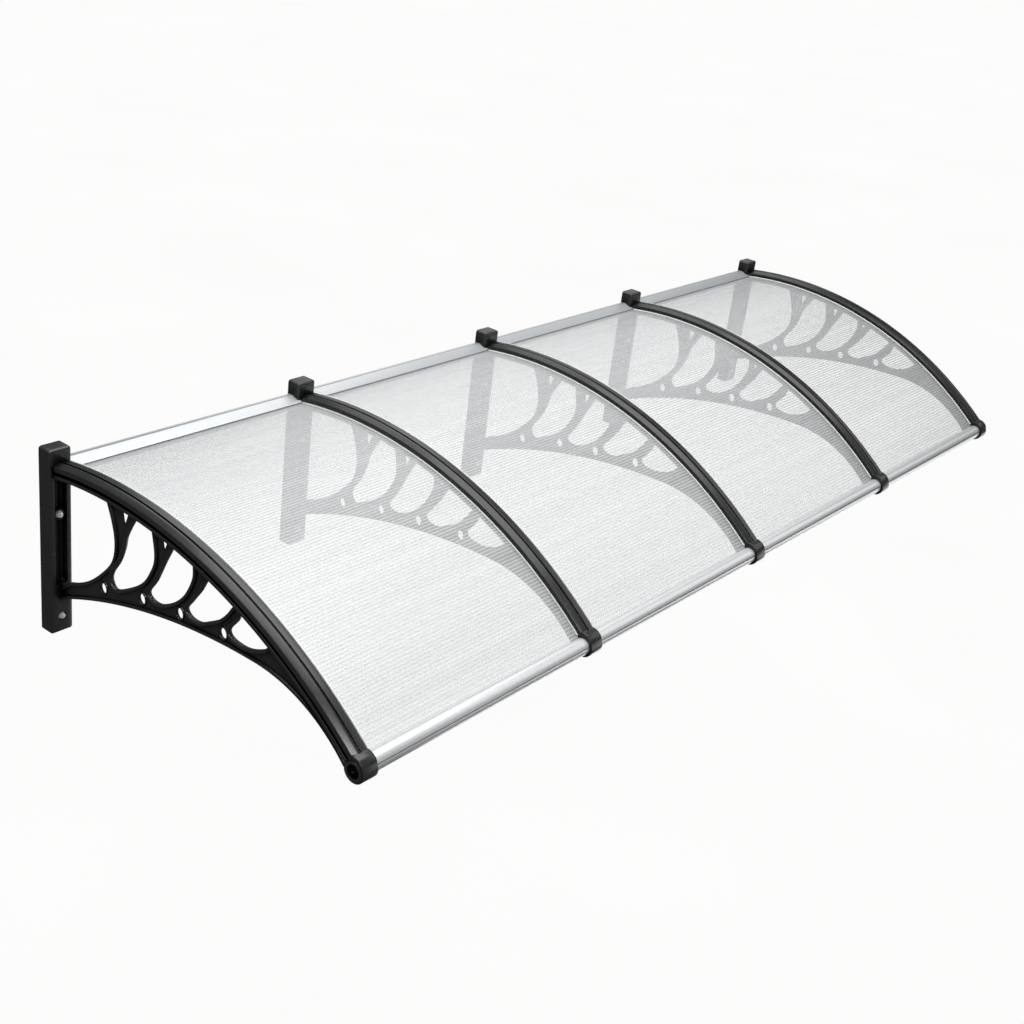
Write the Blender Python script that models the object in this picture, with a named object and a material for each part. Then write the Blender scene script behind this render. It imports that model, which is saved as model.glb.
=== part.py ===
# Wall-mounted door canopy: moulded brackets carry arched twin-wall sheets between a front bar
# and a wall rail. Metres, +Z up. The wall is the plane y = 0 and the canopy reaches out
# towards -Y. X runs along the wall. The origin is on the wall, behind the middle bracket and
# midway between its two bolts.
#
# Side outlines are written as pairs (out, up): out is the distance from the wall, so y = -out,
# and up is the height above the feet of the posts. The last step lowers it all to the origin.
# Angles along the arch are measured at its centre from straight up, positive towards the front.

from math import asin, atan2, cos, pi, radians, sin, sqrt

import bmesh
import bpy
from mathutils import Vector
from mathutils.geometry import tessellate_polygon

# Overall layout
BAY = 0.730                  # bracket to bracket
BAY_COUNT = 4
CLEARANCE = 0.0005           # play between pieces that meet

# Wall post of a bracket
POST_WIDTH = 0.058
POST_DEPTH = 0.038
POST_HEIGHT = 0.457
POST_CHAMFER = 0.004
CHANNEL_WIDTH = 0.031        # recess in the front of the post
CHANNEL_DEPTH = 0.020
CHANNEL_BOTTOM = 0.124
CHANNEL_BELOW_TOP = 0.065    # from the top of the post to the top of the channel

# Arched arm of a bracket
ARCH_RADIUS = 1.180          # outer face of the arm
ARCH_OUT = 0.225             # highest point of the arch, from the wall
ARCH_BELOW_POST = 0.015      # below the top of the post
ARM_WIDTH = 0.040
ARM_CORE = 0.012             # wall between the two sheet slots
ARM_CHAMFER = 0.005
CAP_THICKNESS = 0.020        # arm above the sheets
FLANGE_THICKNESS = 0.009     # arm below the sheets
GROOVE_WIDTH = 0.005         # decorative line along the top of the arm
GROOVE_DEPTH = 0.004
GROOVE_OFFSET = -0.0025

# Front end of a bracket
HUB_OUT = 0.986              # centre of the socket, from the wall
HUB_RADIUS = 0.027
HUB_WIDTH = 0.042
HUB_DROP = 0.024             # centre of the socket below the outer face of the arm
HUB_CREST = 0.033            # where the squared top of the hub begins, above its centre
HUB_CORNER = 0.022           # its front corner, above and in front of the centre
SOCKET_WALL = 0.006          # wall between the left and the right socket

# Scrollwork under the arm
WEB_THICKNESS = 0.005
LIP_WIDTH = 0.010
LIP_THICKNESS = 0.007
RIB_PEAK_BACK = 0.302        # highest point of the lower edge, behind the socket's centre
RIB_PEAK_GAP = 0.08645       # and below the arm
RIB_START_UP = 0.0679        # where the lower edge would meet the wall
RIB_END_BACK = 0.0405        # front end of the lower edge, behind the socket's centre
RIB_END_DROP = 0.0204        # and below it
# Each opening is a closed smooth curve. Its points are shares of the way from the post to
# the hub, and of the way from the arm down to the lower edge. Shares below 0 run into the arm.
OPENINGS = (
    ((-0.02, 0.84), (0.05, 0.86), (0.12, 0.81), (0.18, 0.66), (0.207, 0.36), (0.17, -0.05), (-0.02, -0.05)),
    ((0.290, -0.05), (0.244, 0.30), (0.220, 0.59), (0.195, 0.76), (0.225, 0.84), (0.298, 0.71), (0.342, 0.42),
     (0.334, -0.05)),
    ((0.418, -0.05), (0.378, 0.35), (0.350, 0.61), (0.328, 0.77), (0.358, 0.85), (0.416, 0.74), (0.464, 0.42),
     (0.468, -0.05)),
    ((0.532, -0.04), (0.494, 0.42), (0.456, 0.76), (0.488, 0.85), (0.534, 0.74), (0.584, 0.42), (0.608, -0.04)),
    ((0.644, -0.03), (0.618, 0.38), (0.596, 0.70), (0.648, 0.78), (0.700, 0.50), (0.726, -0.03)),
)
# Through holes at the feet and at the heads of the struts between the openings.
STRUT_FEET = ((0.163, 0.865), (0.303, 0.865), (0.433, 0.855), (0.576, 0.800))
FOOT_HOLE_HALF = (0.0075, 0.0120)
STRUT_HEADS = ((0.240, 0.18), (0.377, 0.19), (0.497, 0.23))
HEAD_HOLE_HALF = 0.012       # half its width, just under the arm
HEAD_HOLE_TOP = 0.04

# Wall bolts: hexagon heads on washers, in round seats
BOLT_HEIGHTS = (0.041, 0.296)
BOLT_RADIUS = 0.004
BOLT_HEAD_FLATS = 0.013
BOLT_HEAD_HEIGHT = 0.0053
BOLT_HOLE_CLEARANCE = 0.0006
WASHER_RADIUS = 0.0085
WASHER_THICKNESS = 0.0016
SEAT_CLEARANCE = 0.0015
SEAT_DEPTH = 0.005
BOSS_WALL = 0.003
BOSS_HEIGHT = 0.016

# Twin-wall sheets
SHEET_THICKNESS = 0.006
SHEET_SLOT = 0.0074          # slot that takes the edge of a sheet
SKIN = 0.0007                # each of the two walls
FLUTE_ANGLE = radians(3)     # spacing of the cross walls along the arch
SHEET_SIDE_GAP = 0.002       # from the edge of a sheet to the core of the arm

# Front bar
BAR_RADIUS = 0.0205
BAR_WALL = 0.0022
BAR_POCKET = 0.014           # depth of its sheet pocket
BAR_GROOVE_ANGLE = radians(18)
BAR_GROOVE_WIDTH = 0.0022
BAR_GROOVE_DEPTH = 0.0012

# Wall rail and its seal
RAIL_FRONT = 0.046
RAIL_HEIGHT = 0.032
RAIL_BELOW_ARCH = 0.020      # from the highest point of the arch to the rail's top
RAIL_LIP = 0.0035            # metal above and below its sheet pocket
RAIL_WALL = 0.0025
SEAL_THICKNESS = 0.003
SEAL_HEIGHT = 0.018
SEAL_LIP = 0.002

# End plugs and the screws that hold the front bars
PLUG_FLANGE = 0.0225         # radius
PLUG_FLANGE_THICKNESS = 0.0016
PLUG_LENGTH = 0.012
PLUG_RECESS = 0.0135         # radius
PLUG_RECESS_DEPTH = 0.008
SCREW_RADIUS = 0.0018
SCREW_HEAD_RADIUS = 0.0035
SCREW_HEAD_HEIGHT = 0.0022
SCREW_HOLE_CLEARANCE = 0.0004
SCREW_LENGTH = 0.0095
SCREW_SETBACK = 0.007        # from the side of the hub

# How finely round shapes are drawn
ARC_STEP = radians(3)
CURVE_STEPS = 2
RIB_STEPS = 12
ROUND_SIDES = 12
BAR_SIDES = 24

CHANNEL_TOP = POST_HEIGHT - CHANNEL_BELOW_TOP
ARCH_TOP = POST_HEIGHT - ARCH_BELOW_POST
ARCH_CENTRE_UP = ARCH_TOP - ARCH_RADIUS
SLOT_TOP = ARCH_RADIUS - CAP_THICKNESS
SLOT_BOTTOM = SLOT_TOP - SHEET_SLOT
FLANGE_BOTTOM = SLOT_BOTTOM - FLANGE_THICKNESS
SHEET_MIDDLE = (SLOT_TOP + SLOT_BOTTOM) / 2
HUB_ANGLE = asin((HUB_OUT - ARCH_OUT) / (ARCH_RADIUS - HUB_DROP))
HUB_UP = ARCH_CENTRE_UP + (ARCH_RADIUS - HUB_DROP) * cos(HUB_ANGLE)
RAIL_TOP = ARCH_TOP - RAIL_BELOW_ARCH
RAIL_BOTTOM = RAIL_TOP - RAIL_HEIGHT
RIB_PEAK_OUT = HUB_OUT - RIB_PEAK_BACK
RIB_PEAK_UP = ARCH_CENTRE_UP + sqrt(FLANGE_BOTTOM ** 2 - (RIB_PEAK_OUT - ARCH_OUT) ** 2) - RIB_PEAK_GAP
RIB_RISE = RIB_PEAK_UP - RIB_START_UP
RIB_REAR_RADIUS = (RIB_PEAK_OUT ** 2 + RIB_RISE ** 2) / (2 * RIB_RISE)
RIB_END_OUT = HUB_OUT - RIB_END_BACK
RIB_FALL = RIB_PEAK_UP - (HUB_UP - RIB_END_DROP)
RIB_FRONT_RADIUS = ((RIB_END_OUT - RIB_PEAK_OUT) ** 2 + RIB_FALL ** 2) / (2 * RIB_FALL)
SOCKET_RADIUS = BAR_RADIUS + CLEARANCE
BRACKET_X = [(i - BAY_COUNT / 2) * BAY for i in range(BAY_COUNT + 1)]
BAY_X = [(i - (BAY_COUNT - 1) / 2) * BAY for i in range(BAY_COUNT)]
ORIGIN_UP = sum(BOLT_HEIGHTS) / len(BOLT_HEIGHTS)


def clear_scene():
    for obj in list(bpy.data.objects):
        bpy.data.objects.remove(obj, do_unlink=True)


def make_material(name, colour, roughness, metallic=0.0, alpha=1.0):
    material = bpy.data.materials.new(name)
    material.use_nodes = True
    shader = material.node_tree.nodes["Principled BSDF"]
    shader.inputs["Base Color"].default_value = (*colour, 1.0)
    shader.inputs["Roughness"].default_value = roughness
    shader.inputs["Metallic"].default_value = metallic
    shader.inputs["Alpha"].default_value = alpha
    return material


def on_arch(radius, angle):
    """A point of the side outline at a radius and an angle of the arch."""
    return (ARCH_OUT + radius * sin(angle), ARCH_CENTRE_UP + radius * cos(angle))


def arch_angle(radius, out):
    """The angle at which a circle of the arch stands at a distance from the wall."""
    return asin((out - ARCH_OUT) / radius)


def arch_up(radius, out):
    return on_arch(radius, arch_angle(radius, out))[1]


def rib_up(out):
    """Height of the scrollwork's lower edge: two arcs that meet level at its highest point."""
    radius = RIB_REAR_RADIUS if out < RIB_PEAK_OUT else RIB_FRONT_RADIUS
    return RIB_PEAK_UP - radius + sqrt(radius ** 2 - (out - RIB_PEAK_OUT) ** 2)


def web_point(along, down):
    out = POST_DEPTH + along * (HUB_OUT - POST_DEPTH)
    top = arch_up(FLANGE_BOTTOM, out)
    return (out, top - down * (top - rib_up(out)))


def arch_angles(first, last):
    """The stations between two angles: whole steps, so that all arcs share the same corners."""
    steps = [k * ARC_STEP for k in range(-40, 41)]
    return [first] + [a for a in steps if first + ARC_STEP / 4 < a < last - ARC_STEP / 4] + [last]


def arch_band(inner, outer, first, last):
    """Outline of a strip that follows the arch."""
    angles = arch_angles(first, last)
    return [on_arch(outer, a) for a in angles] + [on_arch(inner, a) for a in reversed(angles)]


def circle(centre, radius, sides, start=0.0):
    return [(centre[0] + radius * cos(start + 2 * pi * k / sides),
             centre[1] + radius * sin(start + 2 * pi * k / sides)) for k in range(sides)]


def smooth_loop(points, steps):
    """A closed curve through the points (Catmull-Rom)."""
    loop = []
    count = len(points)
    for i in range(count):
        a, b, c, d = (Vector(points[(i + k - 1) % count]) for k in range(4))
        for k in range(steps):
            t = k / steps
            p = 0.5 * (2 * b + (c - a) * t + (2 * a - 5 * b + 4 * c - d) * t ** 2 + (3 * b - a - 3 * c + d) * t ** 3)
            loop.append((p.x, p.y))
    return loop


def kept_in(loop):
    """The loop with its points brought back to inside the arm's lower flange and the post."""
    limit = FLANGE_BOTTOM + FLANGE_THICKNESS / 3
    kept = []
    for out, up in loop:
        offset = Vector((max(out, POST_DEPTH / 3) - ARCH_OUT, up - ARCH_CENTRE_UP))
        if offset.length > limit:
            offset = offset.normalized() * limit
        kept.append((ARCH_OUT + offset.x, ARCH_CENTRE_UP + offset.y))
    return kept


def signed_area(loop):
    return sum(a[0] * b[1] - b[0] * a[1] for a, b in zip(loop, loop[1:] + loop[:1])) / 2


def widened(loop, distance):
    """The loop moved outwards by a distance."""
    turn = 1.0 if signed_area(loop) > 0 else -1.0
    moved = []
    for before, here, after in zip(loop[-1:] + loop[:-1], loop, loop[1:] + loop[:1]):
        along = (Vector(after) - Vector(before)).normalized()
        moved.append((here[0] + turn * along.y * distance, here[1] - turn * along.x * distance))
    return moved


def mesh_object(name, bm, material):
    bmesh.ops.recalc_face_normals(bm, faces=bm.faces)
    mesh = bpy.data.meshes.new(name)
    bm.to_mesh(mesh)
    bm.free()
    mesh.materials.append(material)
    obj = bpy.data.objects.new(name, mesh)
    bpy.context.scene.collection.objects.link(obj)
    return obj


def prism(name, outline, x_range, material, holes=()):
    """Solid with a side outline, and any holes through it, between two values of X."""
    loops = [list(outline)] + [list(hole) for hole in holes]
    corners = [Vector((out, up, 0.0)) for loop in loops for out, up in loop]
    faces = [range(len(corners))]
    if holes:
        faces = tessellate_polygon([[Vector((out, up, 0.0)) for out, up in loop] for loop in loops])
    bm = bmesh.new()
    ends = [[bm.verts.new((x, -c.x, c.y)) for c in corners] for x in x_range]
    for end in ends:
        for face in faces:
            bm.faces.new([end[i] for i in face])
    start = 0
    for loop in loops:
        for k in range(len(loop)):
            a = start + k
            b = start + (k + 1) % len(loop)
            bm.faces.new((ends[0][a], ends[0][b], ends[1][b], ends[1][a]))
        start += len(loop)
    return mesh_object(name, bm, material)


def swept_arm(name, section, first, last, material):
    """Solid with a section of (x, radius) pairs, swept along the arch."""
    bm = bmesh.new()
    rings = []
    for angle in arch_angles(first, last):
        ring = []
        for x, radius in section:
            out, up = on_arch(radius, angle)
            ring.append(bm.verts.new((x, -out, up)))
        rings.append(ring)
    for one, two in zip(rings, rings[1:]):
        for k in range(len(section)):
            n = (k + 1) % len(section)
            bm.faces.new((one[k], one[n], two[n], two[k]))
    bm.faces.new(rings[0])
    bm.faces.new(rings[-1])
    return mesh_object(name, bm, material)


def rod(name, start, direction, radius, length, material, sides=ROUND_SIDES):
    """Round bar, or a prism with few sides, from a point along a direction."""
    axis = Vector(direction).normalized()
    turn = axis.to_track_quat("Z", "X")
    bm = bmesh.new()
    ends = []
    for distance in (0.0, length):
        ring = []
        for k in range(sides):
            angle = 2 * pi * (k + 0.5) / sides
            local = Vector((radius * cos(angle), radius * sin(angle), distance))
            ring.append(bm.verts.new(Vector(start) + turn @ local))
        ends.append(ring)
    for k in range(sides):
        n = (k + 1) % sides
        bm.faces.new((ends[0][k], ends[0][n], ends[1][n], ends[1][k]))
    bm.faces.new(ends[0])
    bm.faces.new(ends[1])
    return mesh_object(name, bm, material)


def box(name, low, high, material):
    bm = bmesh.new()
    bmesh.ops.create_cube(bm, size=1.0)
    for vert in bm.verts:
        vert.co = [low[i] + (vert.co[i] + 0.5) * (high[i] - low[i]) for i in range(3)]
    return mesh_object(name, bm, material)


def combine(base, others, operation):
    """Joins the others to the base, or cuts them out of it, and removes them."""
    for other in others:
        modifier = base.modifiers.new(operation.title(), "BOOLEAN")
        modifier.operation = operation
        modifier.solver = "EXACT"
        modifier.object = other
    settle(base)
    for other in others:
        bpy.data.objects.remove(other, do_unlink=True)


def settle(obj):
    """Replaces the mesh by its evaluated one and drops the modifiers."""
    bpy.context.view_layer.update()
    evaluated = obj.evaluated_get(bpy.context.evaluated_depsgraph_get())
    mesh = bpy.data.meshes.new_from_object(evaluated)
    obj.modifiers.clear()
    obj.data = mesh


def tidy_mesh(obj):
    """Merges doubled points, flattens needless edges and shades round faces smooth."""
    bm = bmesh.new()
    bm.from_mesh(obj.data)
    bmesh.ops.remove_doubles(bm, verts=bm.verts, dist=0.00002)
    bmesh.ops.dissolve_limit(bm, angle_limit=radians(0.2), verts=bm.verts, edges=bm.edges)
    bmesh.ops.triangulate(bm, faces=bm.faces)
    bmesh.ops.recalc_face_normals(bm, faces=bm.faces)
    bm.to_mesh(obj.data)
    bm.free()
    obj.data.shade_smooth()
    obj.data.set_sharp_from_angle(angle=radians(30))


def arm_section():
    """H-shaped section of the arm, with a groove along its top and a slot in each side."""
    half = ARM_WIDTH / 2
    core = ARM_CORE / 2
    left = GROOVE_OFFSET - GROOVE_WIDTH / 2
    right = GROOVE_OFFSET + GROOVE_WIDTH / 2
    top = ARCH_RADIUS
    return [
        (-half, SLOT_TOP), (-half, top - ARM_CHAMFER), (-half + ARM_CHAMFER, top), (left, top),
        (left, top - GROOVE_DEPTH), (right, top - GROOVE_DEPTH), (right, top), (half - ARM_CHAMFER, top),
        (half, top - ARM_CHAMFER), (half, SLOT_TOP), (core, SLOT_TOP), (core, SLOT_BOTTOM),
        (half, SLOT_BOTTOM), (half, FLANGE_BOTTOM), (-half, FLANGE_BOTTOM), (-half, SLOT_BOTTOM),
        (-core, SLOT_BOTTOM), (-core, SLOT_TOP),
    ]


def lower_edge():
    """The scrollwork's lower edge, from inside the post to inside the hub."""
    first = POST_DEPTH / 2
    outs = [first + (RIB_END_OUT - first) * k / RIB_STEPS for k in range(RIB_STEPS + 1)]
    return [(out, rib_up(out)) for out in outs] + [(HUB_OUT - HUB_RADIUS / 2, HUB_UP - HUB_RADIUS / 2)]


def web_outline():
    """Side outline between the arm and the scrollwork's lower edge."""
    into_flange = FLANGE_BOTTOM + FLANGE_THICKNESS / 2
    first = arch_angle(into_flange, POST_DEPTH / 2)
    return [on_arch(into_flange, a) for a in arch_angles(first, HUB_ANGLE)] + lower_edge()[::-1]


def lower_lip():
    edge = lower_edge()
    return edge + [(out, up + LIP_THICKNESS) for out, up in reversed(edge)]


def foot_hole(place):
    out, up = web_point(*place)
    return [(out + FOOT_HOLE_HALF[0] * cos(a), up + FOOT_HOLE_HALF[1] * sin(a))
            for a in (2 * pi * (k + 0.5) / 8 for k in range(8))]


def head_hole(place):
    """Three-cornered hole: flat under the arm, pointed below."""
    half = HEAD_HOLE_HALF / (HUB_OUT - POST_DEPTH)
    along, down = place
    corners = ((along - half, HEAD_HOLE_TOP), (along + half, HEAD_HOLE_TOP), (along - half / 4, down))
    return [web_point(*corner) for corner in corners]


def scrollwork(material):
    """Thin web with openings, and a raised lip round each of them and along the lower edge."""
    openings = [smooth_loop([web_point(*p) for p in points], CURVE_STEPS) for points in OPENINGS]
    half_web = WEB_THICKNESS / 2
    half_lip = LIP_WIDTH / 2
    web = prism("web", web_outline(), (-half_web, half_web), material)
    pads = [prism("pad", lower_lip(), (-half_lip, half_lip), material)]
    for loop in openings:
        pads.append(prism("pad", kept_in(widened(loop, LIP_THICKNESS)), (-half_lip, half_lip), material))
    combine(web, pads, "UNION")
    holes = openings + [foot_hole(place) for place in STRUT_FEET] + [head_hole(place) for place in STRUT_HEADS]
    combine(web, [prism("cut", hole, (-LIP_WIDTH, LIP_WIDTH), material) for hole in holes], "DIFFERENCE")
    return web


def hub(material):
    """Front end of the bracket: round below, squared above and in front."""
    centre = (HUB_OUT, HUB_UP)
    first = radians(20)
    last = radians(-200)
    steps = 11
    outline = [(HUB_OUT, HUB_UP + HUB_CREST), (HUB_OUT + HUB_CORNER, HUB_UP + HUB_CORNER)]
    for k in range(steps + 1):
        angle = first + (last - first) * k / steps
        outline.append((centre[0] + HUB_RADIUS * cos(angle), centre[1] + HUB_RADIUS * sin(angle)))
    return prism("hub", outline, (-HUB_WIDTH / 2, HUB_WIDTH / 2), material)


def post(material):
    """Wall block with a channel down its front."""
    obj = box("post", (-POST_WIDTH / 2, -POST_DEPTH, 0.0), (POST_WIDTH / 2, 0.0, POST_HEIGHT), material)
    bm = bmesh.new()
    bm.from_mesh(obj.data)
    edges = [e for e in bm.edges if not all(abs(v.co.y) < 0.0001 for v in e.verts)]
    bmesh.ops.bevel(bm, geom=edges, offset=POST_CHAMFER, segments=1, affect="EDGES")
    bm.to_mesh(obj.data)
    bm.free()
    channel = box("channel", (-CHANNEL_WIDTH / 2, -2 * POST_DEPTH, CHANNEL_BOTTOM),
                  (CHANNEL_WIDTH / 2, CHANNEL_DEPTH - POST_DEPTH, CHANNEL_TOP), material)
    combine(obj, [channel], "DIFFERENCE")
    return obj


def bolt_seat(height):
    """Distance from the wall at which a bolt's washer sits."""
    if CHANNEL_BOTTOM < height < CHANNEL_TOP:
        return POST_DEPTH - CHANNEL_DEPTH + BOSS_HEIGHT - SEAT_DEPTH
    return POST_DEPTH - SEAT_DEPTH


def bracket_mesh(material):
    """The moulded bracket, centred on x = 0."""
    first = arch_angle(ARCH_RADIUS, POST_DEPTH / 2)
    body = post(material)
    arm = swept_arm("arm", arm_section(), first, HUB_ANGLE, material)
    seat = WASHER_RADIUS + SEAT_CLEARANCE
    additions = [arm, scrollwork(material), hub(material)]
    for height in BOLT_HEIGHTS:
        if CHANNEL_BOTTOM < height < CHANNEL_TOP:
            floor = POST_DEPTH - CHANNEL_DEPTH
            additions.append(rod("boss", (0, -floor / 2, height), (0, -1, 0), seat + BOSS_WALL,
                                 floor / 2 + BOSS_HEIGHT, material))
    combine(body, additions, "UNION")

    cutters = []
    for height in BOLT_HEIGHTS:
        hole = BOLT_RADIUS + BOLT_HOLE_CLEARANCE
        cutters.append(rod("hole", (0, 2 * POST_DEPTH, height), (0, -1, 0), hole, 4 * POST_DEPTH, material))
        cutters.append(rod("seat", (0, -bolt_seat(height), height), (0, -1, 0), seat, POST_DEPTH, material))
    slot_first = HUB_ANGLE - 2 * HUB_RADIUS / ARCH_RADIUS
    slot = arch_band(SLOT_BOTTOM, SLOT_TOP, slot_first, HUB_ANGLE)
    for side in (-1, 1):
        inner = side * SOCKET_WALL / 2
        cutters.append(rod("socket", (inner, -HUB_OUT, HUB_UP), (side, 0, 0), SOCKET_RADIUS, HUB_WIDTH, material,
                           BAR_SIDES))
        cutters.append(prism("slot", slot, sorted((side * ARM_CORE / 2, side * HUB_WIDTH)), material))
        hole = SCREW_RADIUS + SCREW_HOLE_CLEARANCE
        cutters.append(rod("hole", (screw_x(side), -HUB_OUT, HUB_UP), (0, 0, -1), hole, 2 * HUB_RADIUS, material, 8))
    combine(body, cutters, "DIFFERENCE")
    tidy_mesh(body)
    mesh = body.data
    bpy.data.objects.remove(body, do_unlink=True)
    return mesh


def screw_x(side):
    return side * (HUB_WIDTH / 2 - SCREW_SETBACK)


def place(name, mesh, position):
    obj = bpy.data.objects.new(name, mesh)
    obj.location = position
    bpy.context.scene.collection.objects.link(obj)


def place_row(name, mesh, positions):
    for number, position in enumerate(positions, start=1):
        place(f"{name}_{number}", mesh, position)


def sheet_mesh(material):
    """Twin-wall sheet: two skins with cross walls, open at both side edges."""
    outer = SHEET_MIDDLE + SHEET_THICKNESS / 2
    inner = SHEET_MIDDLE - SHEET_THICKNESS / 2
    first = arch_angle(SHEET_MIDDLE, POST_DEPTH + 3 * CLEARANCE)
    last = HUB_ANGLE - (BAR_RADIUS - BAR_POCKET + 2 * CLEARANCE) / SHEET_MIDDLE
    steps = [k * FLUTE_ANGLE for k in range(-80, 81)]
    stations = [first] + [a for a in steps if first + FLUTE_ANGLE / 3 < a < last - FLUTE_ANGLE / 3] + [last]
    outline = [on_arch(outer, a) for a in stations] + [on_arch(inner, a) for a in reversed(stations)]
    flutes = []
    half_wall = SKIN / 2 / SHEET_MIDDLE
    for a, b in zip(stations, stations[1:]):
        low = a + (2 * half_wall if a == first else half_wall)
        high = b - (2 * half_wall if b == last else half_wall)
        flutes.append([on_arch(outer - SKIN, low), on_arch(outer - SKIN, high),
                       on_arch(inner + SKIN, high), on_arch(inner + SKIN, low)])
    half = BAY / 2 - ARM_CORE / 2 - SHEET_SIDE_GAP
    return take_mesh(prism("sheet", outline, (-half, half), material, flutes))


def take_mesh(obj):
    mesh = obj.data
    bpy.data.objects.remove(obj, do_unlink=True)
    mesh.shade_smooth()
    mesh.set_sharp_from_angle(angle=radians(30))
    return mesh


def bar_point(back, outwards):
    """A point of the front bar: back along the sheet, and outwards across it, from the bar's centre."""
    return (HUB_OUT - back * cos(HUB_ANGLE) + outwards * sin(HUB_ANGLE),
            HUB_UP + back * sin(HUB_ANGLE) + outwards * cos(HUB_ANGLE))


def front_bar_mesh(material):
    """Round hollow bar with a pocket for the sheet and a fine groove along its front."""
    shift = SHEET_MIDDLE - (ARCH_RADIUS - HUB_DROP)
    low = shift - SHEET_SLOT / 2
    high = shift + SHEET_SLOT / 2
    pocket_end = BAR_RADIUS - BAR_POCKET
    mouth = [bar_point(sqrt(BAR_RADIUS ** 2 - low ** 2), low), bar_point(pocket_end, low),
             bar_point(pocket_end, high), bar_point(sqrt(BAR_RADIUS ** 2 - high ** 2), high)]
    start = atan2(mouth[3][1] - HUB_UP, mouth[3][0] - HUB_OUT)
    end = atan2(mouth[0][1] - HUB_UP, mouth[0][0] - HUB_OUT) - 2 * pi
    outline = list(mouth)
    half_groove = BAR_GROOVE_WIDTH / 2 / BAR_RADIUS
    angles = [start + (end - start) * k / BAR_SIDES for k in range(1, BAR_SIDES)]
    groove = [(BAR_GROOVE_ANGLE + half_groove, 0.0), (BAR_GROOVE_ANGLE + half_groove, BAR_GROOVE_DEPTH),
              (BAR_GROOVE_ANGLE - half_groove, BAR_GROOVE_DEPTH), (BAR_GROOVE_ANGLE - half_groove, 0.0)]
    around = [(a, 0.0) for a in angles if abs(a - BAR_GROOVE_ANGLE) > 2 * half_groove] + groove
    around.sort(key=lambda item: -item[0])
    fixed = []
    for angle, depth in around:
        fixed.append((HUB_OUT + (BAR_RADIUS - depth) * cos(angle), HUB_UP + (BAR_RADIUS - depth) * sin(angle)))
    outline += fixed
    inner = BAR_RADIUS - BAR_WALL
    chord = pocket_end - BAR_WALL
    spread = pi - atan2(sqrt(inner ** 2 - chord ** 2), chord)
    count = BAR_SIDES // 2
    chamber = []
    for k in range(count + 1):
        angle = -spread + 2 * spread * k / count
        chamber.append(bar_point(-inner * cos(angle), inner * sin(angle)))
    half = BAY / 2 - SOCKET_WALL / 2 - CLEARANCE
    bar = prism("bar", outline, (-half, half), material, [chamber])
    holes = []
    for side in (-1, 1):
        x = side * (BAY / 2 - screw_x(1))
        holes.append(rod("hole", (x, -HUB_OUT, HUB_UP), (0, 0, -1), SCREW_RADIUS + SCREW_HOLE_CLEARANCE,
                         2 * HUB_RADIUS, material, 8))
    combine(bar, holes, "DIFFERENCE")
    return take_mesh(bar)


def rail_mesh(material):
    """Rail along the wall: a hollow back, and a pocket in front for the sheet."""
    back = SEAL_THICKNESS + CLEARANCE
    pocket_end = POST_DEPTH + CLEARANCE
    top = [(out, arch_up(SLOT_TOP, out)) for out in (RAIL_FRONT, pocket_end)]
    bottom = [(out, arch_up(SLOT_BOTTOM, out)) for out in (pocket_end, RAIL_FRONT)]
    lip_top = top[0][1] + RAIL_LIP
    lip_bottom = bottom[1][1] - RAIL_LIP
    chamfer = RAIL_WALL
    outline = [
        (back, RAIL_BOTTOM), (back, RAIL_TOP - chamfer), (back + chamfer, RAIL_TOP),
        (POST_DEPTH / 2, RAIL_TOP), (RAIL_FRONT - chamfer, lip_top), (RAIL_FRONT, lip_top - chamfer / 2),
        *top, *bottom, (RAIL_FRONT, lip_bottom), (RAIL_FRONT - chamfer, lip_bottom - chamfer),
        (POST_DEPTH - RAIL_WALL, RAIL_BOTTOM),
    ]
    chamber_front = POST_DEPTH - 2 * RAIL_WALL
    chamber = [
        (back + RAIL_WALL, RAIL_BOTTOM + RAIL_WALL), (back + RAIL_WALL, RAIL_TOP - RAIL_WALL - chamfer),
        (POST_DEPTH / 2, RAIL_TOP - RAIL_WALL - chamfer), (chamber_front, lip_top - 2 * RAIL_WALL),
        (chamber_front, RAIL_BOTTOM + RAIL_WALL),
    ]
    half = BAY / 2 - ARM_WIDTH / 2 - CLEARANCE
    rail = prism("rail", outline, (-half, half), material, [chamber])
    notches = []
    for side in (-1, 1):
        inner = side * (BAY / 2 - POST_WIDTH / 2 - CLEARANCE)
        outer = side * BAY / 2
        notches.append(box("notch", (min(inner, outer), -POST_DEPTH - CLEARANCE / 2, 0.0),
                           (max(inner, outer), POST_DEPTH, POST_HEIGHT), material))
    combine(rail, notches, "DIFFERENCE")
    return take_mesh(rail)


def seal_mesh(material):
    """Soft strip between the rail and the wall, thicker along its lower edge."""
    low = RAIL_BOTTOM + (RAIL_TOP - RAIL_BOTTOM - SEAL_HEIGHT) / 2
    outline = [(0.0, low - SEAL_LIP), (0.0, low + SEAL_HEIGHT), (SEAL_THICKNESS, low + SEAL_HEIGHT),
               (SEAL_THICKNESS, low), (SEAL_THICKNESS - SEAL_LIP / 2, low - SEAL_LIP)]
    half = BAY / 2 - POST_WIDTH / 2 - CLEARANCE
    return take_mesh(prism("seal", outline, (-half, half), material))


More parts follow.
